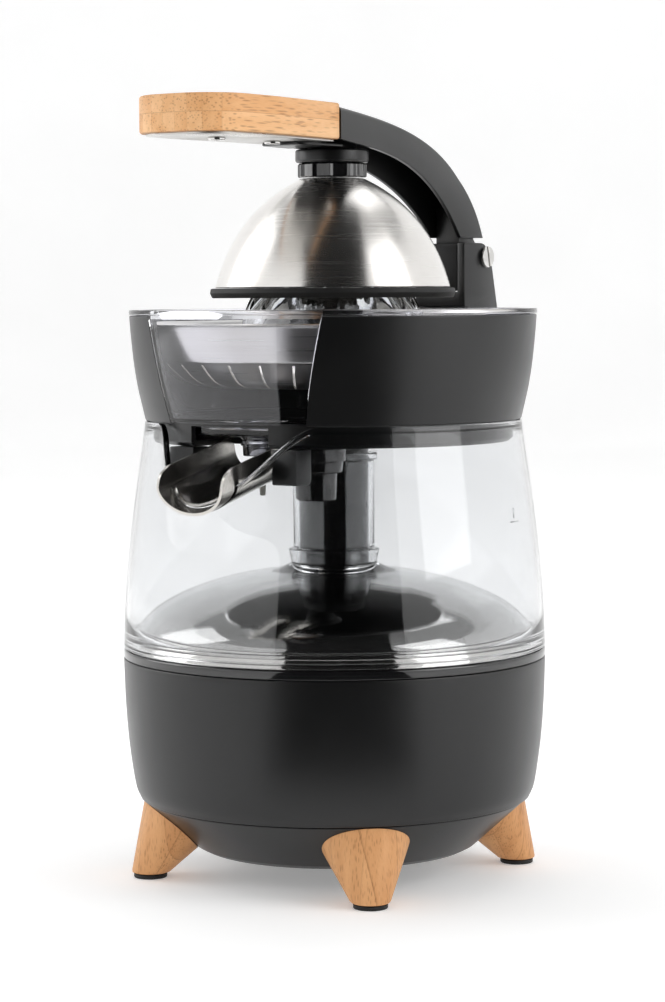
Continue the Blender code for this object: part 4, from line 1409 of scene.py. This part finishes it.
@dataclass
class Collector:
    """Clear bowl that catches the juice: rim flange, flush front window and outlet tube."""

    shop: Workshop
    rim: float = 0.0916
    outer: tuple[Point, ...] = ((0.0881, 0.2521), (0.0866, 0.2317), (0.0833, 0.2148), (0.0776, 0.2050))
    inner: tuple[Point, ...] = ((0.0756, 0.2060), (0.0813, 0.2158), (0.0846, 0.2317), (0.0864, 0.2545))
    window_wall: float = 0.0024
    window_foot: float = 0.2057
    post: Point = (0.0052, 0.0082)
    floor: Point = (0.2005, 0.2030)
    outlet_y: float = -0.0580
    sides: int = 224
    window_steps: int = 56

    def build(self) -> None:
        """Builds the bowl and its outlet."""
        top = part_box("juice_collector")[1].z
        seat = top - 0.0024
        outer = smooth_path(self.outer, 8)
        inner = smooth_path(self.inner, 6)
        foot, step = self.window_foot, self.window_foot + 0.0022
        moves = []
        outer_path = []
        for r, z in outer:
            if z < foot and (not outer_path or outer_path[-1][1] > foot):
                outer_path.append((self.outer[-1][0] + 0.0007, foot))
            outer_path.append((r, z))
        inner_path = []
        for r, z in inner:
            if z > step and (inner_path and inner_path[-1][1] < step):
                inner_path.append((self.inner[0][0] + 0.0009, step))
            inner_path.append((r, z))
        for r, z in outer_path:
            if z >= foot:
                moves.append((r, z, ring_radius(min(z, RING_TOP)) - 0.0001))
        for r, z in inner_path:
            if step <= z < top - 0.0001:
                moves.append((r, z, ring_radius(min(z, RING_TOP)) - self.window_wall))
        corners = [(self.rim, top, 0.0007), (self.rim, seat, 0.0005)] + sharp_points(outer_path)
        corners += [(0.0774, self.floor[0], 0.0010), (self.post[0], self.floor[0], 0.0003),
                    (self.post[0], 0.2360, 0.0005), (self.post[1], 0.2360, 0.0005),
                    (self.post[1], self.floor[1], 0.0010), (0.0750, self.floor[1], 0.0012)]
        corners += sharp_points(inner_path[:-1]) + [(inner_path[-1][0], top, 0.0006)]
        bm = spun(rounded(corners), self.sides)
        self.open_window(bm, moves)
        bmesh.ops.recalc_face_normals(bm, faces=bm.faces)
        self.shop.add("collector_bowl", bm, Body.UPPER, Slot.CLEAR, CLEAR_BOWL, ("juice_collector",))
        self.add_outlet()

    def open_window(self, bm: bmesh.types.BMesh, moves: Sequence[Triple]) -> None:
        """Moves the front of the wall out until it is flush with the housing.

        Args:
            bm: The bowl's mesh.
            moves: Wall points (r, z) and the radius each gets in the window.
        """
        last = self.window_steps
        slack = 0.0004 / 0.09                # angle of the gap at the window's side edges
        same = 2e-5                          # how near a vertex is to its outline point
        for vert in bm.verts:
            radius = math.hypot(vert.co.x, vert.co.y)
            turn = (math.atan2(vert.co.y, vert.co.x) % FULL_TURN) / FULL_TURN
            column = round(turn * self.sides) % self.sides
            height = max(vert.co.z, WINDOW.foot_z)
            edge = WINDOW.edge(ring_radius(min(height, RING_TOP)), height, GAP)
            if column <= last:
                angle = -edge + 2.0 * edge * column / last
                near = [new for r, z, new in moves if abs(r - radius) < same and abs(z - vert.co.z) < same]
                radius = near[0] if near else radius
            else:
                share = (column - last - 1) / (self.sides - last - 2)
                angle = edge + slack + (FULL_TURN - 2.0 * (edge + slack)) * share
            angle += WINDOW.turn
            vert.co = at_angle(radius, angle, vert.co.z)

    def add_outlet(self) -> None:
        """Adds the ringed outlet tube over the spout."""
        corners = [(0.0045, 0.2004, 0.0), (0.0074, 0.2004, 0.0), (0.0074, 0.1992, 0.0003),
                   (0.0064, 0.1986, 0.0002), (0.0064, 0.1972, 0.0002), (0.0070, 0.1968, 0.0003),
                   (0.0070, 0.1958, 0.0003), (0.0062, 0.1954, 0.0002), (0.0060, 0.1912, 0.0005),
                   (0.0045, 0.1912, 0.0004)]
        bm = spun(rounded(corners), 56, centre=(0.0, self.outlet_y))
        self.shop.add("outlet_tube", bm, Body.UPPER, Slot.CLEAR, CLEAR_BOWL)


@dataclass
class Strainer:
    """Spun steel strainer bowl with two rows of slanted slots."""

    shop: Workshop
    profile: tuple[Point, ...] = ((0.0848, 0.2480), (0.0833, 0.2455), (0.0796, 0.2335), (0.0775, 0.2308),
                                  (0.0705, 0.2245), (0.0640, 0.2216), (0.0560, 0.2203), (0.0400, 0.2197),
                                  (0.0100, 0.2190))
    rim_turn: float = 0.0006
    sheet: float = 0.0009
    slots: int = 32
    columns: int = 12
    rows: tuple[tuple[float, float, int], ...] = ((0.0605, 0.0772, 0), (0.0440, 0.0590, 6))
    twist: float = 0.6       # radians of slant for each 0.1 m of radius

    def build(self) -> None:
        """Builds the strainer."""
        path = smooth_path(self.profile, 5)
        bm = spun(path, self.slots * self.columns, closed=False)
        bm.faces.ensure_lookup_table()
        gone = []
        pitch = FULL_TURN / (self.slots * self.columns)
        for face in bm.faces:
            middle = face.calc_center_median()
            radius = math.hypot(middle.x, middle.y)
            column = int((math.atan2(middle.y, middle.x) % FULL_TURN) / pitch) % self.columns
            if any(low < radius < high and column == place for low, high, place in self.rows):
                gone.append(face)
        bmesh.ops.delete(bm, geom=gone, context="FACES")
        for vert in bm.verts:
            radius = math.hypot(vert.co.x, vert.co.y)
            slant = self.twist * (0.0800 - radius) * 10.0 * max(0.0, min(1.0, (radius - 0.03) / 0.02))
            turn = math.atan2(vert.co.y, vert.co.x) - slant * 0.5
            vert.co = Vector((radius * math.cos(turn), radius * math.sin(turn), vert.co.z))
        walled(bm, self.sheet)
        self.shop.add("strainer_bowl", bm, Body.UPPER, Slot.BRUSHED, BOWL_STEEL, ("strainer",))


@dataclass
class SpoutTrough:
    """Tilting steel trough with rounded shoulders, its two pins and the drip peg."""

    shop: Workshop
    slope: float = 13.0
    half: float = 0.0175
    depth: float = 0.0125
    raise_sides: float = 0.0065
    rear: float = 0.0190
    tip: float = -0.0372
    wall: float = 0.0012
    shoulder: float = 0.0100
    pivot: Triple = (0.0, -0.0705, 0.1885)
    across: int = 32
    along: int = 22

    def build(self) -> None:
        """Builds the trough, pins and peg."""
        bm = bmesh.new()
        bmesh.ops.create_grid(bm, x_segments=self.across, y_segments=self.along, size=0.5)
        arc = math.pi * self.half * 0.86
        rise = self.raise_sides
        total = arc + 2.0 * rise
        for vert in bm.verts:
            s = vert.co.x * total
            t = vert.co.y + 0.5
            side = abs(s)
            if side <= arc / 2.0:
                angle = s / arc * math.pi
                x, z = self.half * math.sin(angle), -self.depth * math.cos(angle)
            else:
                x, z = math.copysign(self.half, s), side - arc / 2.0
            lean = max(0.0, (side - total / 2.0 + self.shoulder) / self.shoulder)
            front = self.tip + self.shoulder * (1.0 - math.sqrt(max(0.0, 1.0 - min(lean, 1.0) ** 2)))
            y = front + (self.rear - front) * t
            vert.co = Vector((x, y, z))
        rotated(walled(bm, self.wall), math.radians(self.slope), "X")
        bmesh.ops.translate(bm, vec=self.pivot, verts=bm.verts)
        self.shop.add("steel_trough", bm, Body.SPOUT, Slot.POLISHED, SPOUT_STEEL, ("spout",))
        for side, place in ((-1, "left"), (1, "right")):
            low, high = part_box("spout_pin_" + place)
            radius = (high.z - low.z) / 2.0
            inner, outer = sorted((low.x, high.x), key=abs)
            corners = [(0.0, inner, 0.0), (radius, inner, 0.0002), (radius, outer, 0.0006),
                       (0.0, outer, 0.0)]
            pin = turned_x(spun(rounded(corners, closed=False), 28), self.pivot)
            bmesh.ops.recalc_face_normals(pin, faces=pin.faces)
            self.shop.add("trough_pin_" + place, pin, Body.SPOUT, Slot.POLISHED, CHROME,
                          ("spout_pin_" + place,))
        low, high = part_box("drip_peg")
        radius = (high.x - low.x) / 2.0
        centre = ((low.x + high.x) / 2.0, (low.y + high.y) / 2.0)
        corners = [(0.0, high.z, 0.0), (radius, high.z, 0.0002), (radius * 0.66, low.z, 0.0005),
                   (0.0, low.z, 0.0)]
        peg = spun(rounded(corners, closed=False), 28, centre=centre)
        self.shop.add("tapered_peg", peg, Body.SPOUT, Slot.NYLON, NYLON, ("drip_peg",))


@dataclass
class Reamer:
    """Ribbed clear cone over a black ribbed core."""

    shop: Workshop
    ribs: int = 10
    per_rib: int = 14
    fine_ribs: int = 18
    stations: tuple[Triple, ...] = (
        (0.2430, 0.0410, 0.0), (0.2485, 0.0406, 0.03), (0.2550, 0.0390, 0.12), (0.2640, 0.0340, 0.20),
        (0.2740, 0.0250, 0.24), (0.2830, 0.0150, 0.22), (0.2890, 0.0070, 0.15), (0.2905, 0.0020, 0.0))
    wall: float = 0.0022
    hollow: Point = (0.2431, 0.2850)         # heights between which the cone is a shell

    def build(self) -> None:
        """Builds the cone and its core."""
        radii = smooth_path([(z, r) for z, r, _ in self.stations], 4)
        depths = smooth_path([(z, d) for z, _, d in self.stations], 4)
        rings = []
        for (z, r), (_, depth) in zip(reversed(radii), reversed(depths)):
            if self.hollow[0] < z < self.hollow[1]:
                rings.append(self.ring(z - 0.0008, r - self.wall, max(depth * 0.9, 0.0)))
        rings.append(self.ring(radii[0][0], radii[0][1] - self.wall, 0.0))
        rings += [self.ring(z, r, max(depth, 0.0)) for (z, r), (_, depth) in zip(radii, depths)]
        self.shop.add("ribbed_cone", skinned(rings), Body.REAMER, Slot.CLEAR, CLEAR_CONE, ("reamer_cone",))
        self.add_core()

    def ring(self, z: float, radius: float, depth: float) -> list[Triple]:
        """One ribbed ring of points.

        Args:
            z: Its height.
            radius: Radius over the ribs.
            depth: Depth of the grooves as a share of the radius.

        Returns:
            The points.
        """
        def reach(angle: float) -> float:
            """Radius over a rib and down into a groove."""
            share = (0.5 + 0.5 * math.cos(self.ribs * angle)) ** 1.3
            return radius * (1.0 - depth * (1.0 - share))

        return ring_of(z, self.ribs * self.per_rib, reach)

    def add_core(self) -> None:
        """Adds the black core with its fine ribs."""
        low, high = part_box("reamer_core")
        radius = (high.x - low.x) / 2.0
        rings = []
        for z, r, depth in ((0.2372, 0.0090, 0.0), (low.z, 0.0090, 0.0), (low.z, radius - 0.0006, 0.0),
                            (low.z + 0.0008, radius, 0.05), (high.z - 0.0030, radius, 0.05),
                            (high.z - 0.0010, radius - 0.0006, 0.02), (high.z, radius - 0.0016, 0.0)):
            rings.append(ring_of(z, 72, lambda a: r * (1.0 - depth * (
                0.5 + 0.5 * math.cos(self.fine_ribs * a)))))
        self.shop.add("ribbed_core", skinned(rings), Body.REAMER, Slot.BLACK, GLOSS_ABS, ("reamer_core",))


# ---------------------------------------------------------------- lever
@dataclass
class HingeTower:
    """Clevis tower at the back with its cover, pin and two slotted screws."""

    shop: Workshop
    half: float = 0.0140
    slot_half: float = 0.0098
    slot_floor: float = 0.2620
    flange_r: float = 0.0916
    face_y: float = 0.0885
    screw_turn: float = 12.0       # degrees that the slots stand off upright
    pivot: Triple = (0.0, 0.1070, 0.2784)

    def build(self) -> None:
        """Builds the tower and its fittings."""
        self.add_tower()
        self.add_cover()
        self.add_pin()
        for way, place in ((-1, "left"), (1, "right")):
            self.add_screw(way, place)

    def outline(self, x: float) -> list[Triple]:
        """Side outline of the tower at a distance from the middle.

        Args:
            x: Distance along X.

        Returns:
            The ring of points.
        """
        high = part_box("hinge_tower")[1]
        top, rear, face = high.z, high.y, self.face_y
        over = self.flange_r + GAP
        points = []
        for z in (0.2060, 0.2140, 0.2230, 0.2317, 0.2450, 0.2518):
            points.append((math.sqrt((ring_radius(z) + GAP) ** 2 - x * x), z))
        points += [(math.sqrt(over ** 2 - x * x), 0.2522), (math.sqrt(over ** 2 - x * x), 0.2548),
                   (face, 0.2548), (face, self.slot_floor), (face, top)]
        back = rounded([(face, top, 0.0), (0.1065, top, 0.0060), (0.1122, 0.2790, 0.0050),
                        (rear, 0.2550, 0.0080), (rear, 0.2130, 0.0060), (0.1130, 0.2060, 0.0040),
                        (0.0920, 0.2060, 0.0)], closed=False, segments=5)[1:-1]
        return [(x, y, z) for y, z in points + back]

    def add_tower(self) -> None:
        """Adds the tower with its clevis slot."""
        xs = (-self.half, -self.slot_half, -0.0050, 0.0, 0.0050, self.slot_half, self.half)
        bm = skinned([self.outline(x) for x in xs])
        bmesh.ops.bisect_plane(bm, geom=bm.verts[:] + bm.edges[:] + bm.faces[:],
                               plane_co=(0, 0, self.slot_floor), plane_no=(0, 0, 1), dist=1e-6)
        gone = []
        for face in bm.faces:
            middle = face.calc_center_median()
            if abs(middle.x) < self.slot_half - 1e-4 and middle.z > self.slot_floor + 1e-5:
                gone.append(face)
        bmesh.ops.delete(bm, geom=gone, context="FACES")
        floor_edges = []
        for side in (-1, 1):
            rim = [e for e in bm.edges if len(e.link_faces) == 1
                   and all(abs(v.co.x - side * self.slot_half) < 1e-5 for v in e.verts)]
            ends = [v for v in {v for e in rim for v in e.verts}
                    if abs(v.co.z - self.slot_floor) < 1e-5 and sum(v in e.verts for e in rim) == 1]
            base = bm.edges.new(ends)
            floor_edges.append(base)
            bmesh.ops.contextual_create(bm, geom=rim + [base])
        floor_edges += [e for e in bm.edges if len(e.link_faces) == 1
                        and all(abs(v.co.z - self.slot_floor) < 1e-5 for v in e.verts)
                        and e not in floor_edges]
        bmesh.ops.contextual_create(bm, geom=floor_edges)
        bmesh.ops.recalc_face_normals(bm, faces=bm.faces)
        softened(bm, 0.0007, 2, 40.0)
        self.shop.add("clevis_tower", bm, Body.UPPER, Slot.BLACK, BLACK_ABS, ("hinge_tower",))

    def add_cover(self) -> None:
        """Adds the front cover between the cheeks."""
        low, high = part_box("tower_cover")
        outline = rounded([(low.x, low.z, 0.0006), (high.x, low.z, 0.0006), (high.x, high.z, 0.0015),
                           (low.x, high.z, 0.0015)])
        bm = softened(pulled(outline, "Y", low.y, high.y), 0.0005)
        self.shop.add("clevis_cover", bm, Body.UPPER, Slot.BLACK, DEEP_ABS, ("tower_cover",))

    def add_pin(self) -> None:
        """Adds the hinge pin."""
        low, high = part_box("hinge_pin")
        radius = (high.z - low.z) / 2.0
        corners = [(0.0, high.x, 0.0), (radius, high.x, 0.0005), (radius, low.x, 0.0005), (0.0, low.x, 0.0)]
        pin = turned_x(spun(rounded(corners, closed=False), 32), self.pivot)
        self.shop.add("lever_pin", pin, Body.UPPER, Slot.POLISHED, CHROME, ("hinge_pin",))

    def add_screw(self, way: int, place: str) -> None:
        """Adds one slotted screw.

        Args:
            way: -1 for left and 1 for right.
            place: Its name.
        """
        head, face, root, half_slot = 0.0050, 0.0160, 0.0143, 0.0006
        groove = face - 0.0008
        outline = []
        start = math.asin(half_slot / head)
        for i in range(25):
            angle = start + (math.pi - 2.0 * start) * i / 24
            outline.append((head * math.cos(angle), head * math.sin(angle)))
        halves = []
        for side in (-1, 1):
            points = [(side * v, u) for u, v in outline]
            halves.append(softened(pulled(points, "X", groove, face), 0.0003, 2, 50.0))
        disc = spun([(0.0, root), (head, root), (head, groove), (0.0, groove)], 48)
        neck = spun([(0.0, 0.0121), (0.0030, 0.0121), (0.0030, root), (0.0, root)], 32)
        turned = [rotated(part, math.pi / 2.0, "Y") for part in (disc, neck)]
        whole = rotated(joined(turned + halves), math.radians(self.screw_turn), "X")
        if way < 0:
            bmesh.ops.scale(whole, vec=(-1.0, 1.0, 1.0), verts=whole.verts)
        bmesh.ops.translate(whole, vec=self.pivot, verts=whole.verts)
        bmesh.ops.recalc_face_normals(whole, faces=whole.faces)
        self.shop.add("slotted_screw_" + place, whole, Body.UPPER, Slot.POLISHED, CHROME,
                      ("hinge_screw_" + place,))


@dataclass
class LeverArm:
    """Bent channel-section arm, its lug, the bamboo handle, the steel underplate and the dome socket."""

    shop: Workshop
    top: tuple[Point, ...] = ((-0.0245, 0.3426), (0.0333, 0.3378), (0.0954, 0.3332), (0.1145, 0.2875))
    under: tuple[Point, ...] = ((-0.0245, 0.3285), (0.0075, 0.3246), (0.0582, 0.3267), (0.0930, 0.2875))
    front: Point = (-0.0245, 0.0220)
    back: Point = (0.0920, 0.0090)
    wall: float = 0.0020
    roof: float = 0.0030
    pivot: Triple = (0.0, 0.1070, 0.2784)

    def build(self) -> None:
        """Builds the arm and everything on it."""
        self.add_shell()
        self.add_lug()
        self.add_handle()
        self.add_plate()
        self.add_socket()

    def half_width(self, y: float) -> float:
        """Half width of the arm at a distance from the drive axis.

        Args:
            y: Distance along Y.

        Returns:
            Half its width.
        """
        share = min(max((y - self.front[0]) / (self.back[0] - self.front[0]), 0.0), 1.0)
        return self.front[1] + (self.back[1] - self.front[1]) * share

    def add_shell(self) -> None:
        """Adds the arm, open below."""
        stations = 48
        rings = []
        for (ty, tz), (by, bz) in zip(bezier(self.top, stations), bezier(self.under, stations)):
            foot = Vector((0.0, by, bz))
            rise = Vector((0.0, ty - by, tz - bz))
            height = rise.length
            up = rise.normalized()
            wide, low = self.half_width(ty), self.half_width(by)
            wall = self.wall
            section = rounded([(-low, 0.0, 0.0004), (-wide, height, 0.0024), (wide, height, 0.0024),
                               (low, 0.0, 0.0004), (low - wall, 0.0, 0.0004),
                               (wide - wall, height - self.roof, 0.0015),
                               (-(wide - wall), height - self.roof, 0.0015), (-(low - wall), 0.0, 0.0004)])
            rings.append([Vector((x, 0.0, 0.0)) + foot + up * s for x, s in section])
        self.shop.add("arm_shell", skinned(rings), Body.LEVER, Slot.BLACK, BLACK_ABS, ("lever_arm",))

    def add_lug(self) -> None:
        """Adds the lug that turns in the clevis."""
        eye_r, bore_r = 0.0068, 0.0034
        eye = []
        for i in range(21):
            angle = math.radians(35.0 - 215.0 * i / 20)
            eye.append((self.pivot[1] + eye_r * math.cos(angle), self.pivot[2] + eye_r * math.sin(angle)))
        outline = [(0.0955, 0.2840), (0.0955, 0.3020), (0.1000, 0.2990), (0.1050, 0.2930),
                   (0.1085, 0.2868)] + eye
        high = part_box("arm_lug")[1].x
        web = softened(pulled(outline, "X", -high, high), 0.0005)
        boss = spun(rounded([(bore_r, -high - 0.0012, 0.0), (eye_r - 0.0012, -high - 0.0012, 0.0004),
                             (eye_r - 0.0012, high + 0.0012, 0.0004), (bore_r, high + 0.0012, 0.0)]), 40)
        turned_x(boss, self.pivot)
        self.shop.add("pivot_lug", joined([web, boss]), Body.LEVER, Slot.BLACK, BLACK_ABS, ("arm_lug",))

    def handle_outline(self, wide: float, seam: float, seam_y: float, tip_y: float,
                       corner: float) -> list[Point]:
        """Plan outline of the handle or of its underplate.

        Args:
            wide: Half width along the grip.
            seam: Half width at the arm.
            seam_y: Where it meets the arm.
            tip_y: Where it ends.
            corner: Radius of the tip's corners.

        Returns:
            The outline.
        """
        right = [(seam, seam_y, 0.0), (wide, tip_y + corner * 1.7, 0.03), (wide, tip_y, corner)]
        left = [(-x, y, r) for x, y, r in reversed(right)]
        return rounded(right + left, segments=14)

    def add_handle(self) -> None:
        """Adds the bamboo grip."""
        low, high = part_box("handle_plate")
        outline = self.handle_outline(high.x, 0.0217, high.y, low.y, 0.0250)
        bm = softened(pulled(outline, "Z", low.z, high.z), 0.0011, 3, 50.0)
        self.shop.add("bamboo_grip", bm, Body.LEVER, Slot.BAMBOO, HANDLE_BAMBOO, ("handle_plate",))

    def add_plate(self) -> None:
        """Adds the steel underplate, its black wedge and two screws."""
        grip_low, grip_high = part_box("handle_plate")
        seam_y, tip_y, under = grip_high.y, grip_low.y, grip_low.z
        outline = self.handle_outline(0.0225, 0.0190, seam_y - 0.0010, tip_y + 0.0035, 0.0180)
        plate = softened(pulled(outline, "Z", under - 0.0009, under + 0.0002), 0.0003, 2, 50.0)
        self.shop.add("grip_underplate", plate, Body.LEVER, Slot.BRUSHED, PLATE_STEEL, ("handle_tongue",))
        wedge_outline = rounded([(-0.0120, -0.0390, 0.0050), (0.0120, -0.0390, 0.0050),
                                 (0.0150, -0.0130, 0.0), (-0.0150, -0.0130, 0.0)])
        wedge = softened(pulled(wedge_outline, "Z", 0.3258, under - 0.0010), 0.0004)
        self.shop.add("grip_wedge", wedge, Body.LEVER, Slot.BLACK, BLACK_ABS)
        for place in ("front", "rear"):
            low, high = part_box("handle_screw_" + place)
            y = (low.y + high.y) / 2.0
            top = under - 0.0010
            corners = [(0.0, top, 0.0), (0.0038, top, 0.0003), (0.0036, top - 0.0012, 0.0008),
                       (0.0013, top - 0.0012, 0.0002), (0.0010, top - 0.0005, 0.0), (0.0, top - 0.0005, 0.0)]
            screw = spun(rounded(corners, closed=False), 36, centre=(0.0, y))
            self.shop.add("grip_screw_" + place, screw, Body.LEVER, Slot.POLISHED, CHROME,
                          ("handle_screw_" + place,))

    def add_socket(self) -> None:
        """Adds the socket that holds the press dome."""
        low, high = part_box("dome_socket")
        radius = (high.x - low.x) / 2.0
        skirt = low.z + 0.0057
        corners = [(0.0, high.z, 0.0), (0.0110, high.z, 0.0004), (0.0110, skirt, 0.0006),
                   (radius, skirt, 0.0010), (radius, low.z + 0.0008, 0.0004),
                   (radius - 0.0006, low.z, 0.0003), (0.0, low.z, 0.0)]
        bm = spun(rounded(corners, closed=False), 64)
        self.shop.add("bayonet_socket", bm, Body.LEVER, Slot.BLACK, BLACK_ABS, ("dome_socket",))


@dataclass
class PressDome:
    """Spun steel dome with its rubber rim and the collar that locks it to the socket."""

    shop: Workshop
    curve: tuple[Point, ...] = ((0.0144, 0.3124), (0.0254, 0.3071), (0.0447, 0.2954), (0.0528, 0.2640))
    sheet: float = 0.0012
    nubs: int = 12
    collar_r: float = 0.0145
    nub_rise: float = 0.0010

    def build(self) -> None:
        """Builds the dome, gasket and collar."""
        self.add_dome()
        self.add_gasket()
        self.add_collar()

    def add_dome(self) -> None:
        """Adds the dome."""
        outer = [(0.0, 0.3126), (0.0070, 0.31258)] + bezier(self.curve, 34)
        inner = [(max(r - self.sheet, 0.0), z - self.sheet) for r, z in reversed(outer[:-1])]
        rim_r, rim_z = outer[-1]
        corners = sharp_points(outer[:-1]) + [(rim_r, rim_z, 0.0003), (rim_r - self.sheet, rim_z, 0.0003)]
        corners += sharp_points([p for p in inner if p[1] > rim_z + 0.0005])
        bm = spun(rounded(corners, closed=False), 160)
        self.shop.add("steel_dome", bm, Body.PRESS, Slot.BRUSHED, DOME_STEEL, ("press_dome",))

    def add_gasket(self) -> None:
        """Adds the rubber rim."""
        low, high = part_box("dome_gasket")
        radius = (high.x - low.x) / 2.0
        corners = [(radius - 0.0004, high.z, 0.0006), (radius, low.z + 0.0022, 0.0008),
                   (radius - 0.0010, low.z, 0.0008), (0.0500, low.z, 0.0006), (0.0500, high.z, 0.0004)]
        self.shop.add("rubber_rim", spun(rounded(corners), 128), Body.PRESS, Slot.RUBBER, SOFT_RUBBER,
                      ("dome_gasket",))

    def add_collar(self) -> None:
        """Adds the locking collar with its grip nubs."""
        low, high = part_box("lock_collar")
        rings = []
        for z, shrink in ((low.z, 0.0006), (low.z + 0.0005, 0.0), (high.z - 0.0007, 0.0), (high.z, 0.0007)):
            rings.append(ring_of(z, 144, lambda a: self.collar_r + self.nub_rise
                                 * max(0.0, math.cos(self.nubs * a)) ** 2 - shrink))
        self.shop.add("nubbed_collar", skinned(rings), Body.PRESS, Slot.BLACK, GLOSS_ABS, ("lock_collar",))


def main() -> None:
    """Builds the studio and every sub-assembly."""
    logging.basicConfig(level=logging.INFO, format="%(message)s")
    shop = Workshop()
    Studio().build(shop)
    for assembly in (BaseUnit, Legs, DriveParts, JuiceJug, UpperHousing, Collector, Strainer, SpoutTrough,
                     Reamer, HingeTower, LeverArm, PressDome):
        assembly(shop).build()


if __name__ == "__main__":
    main()
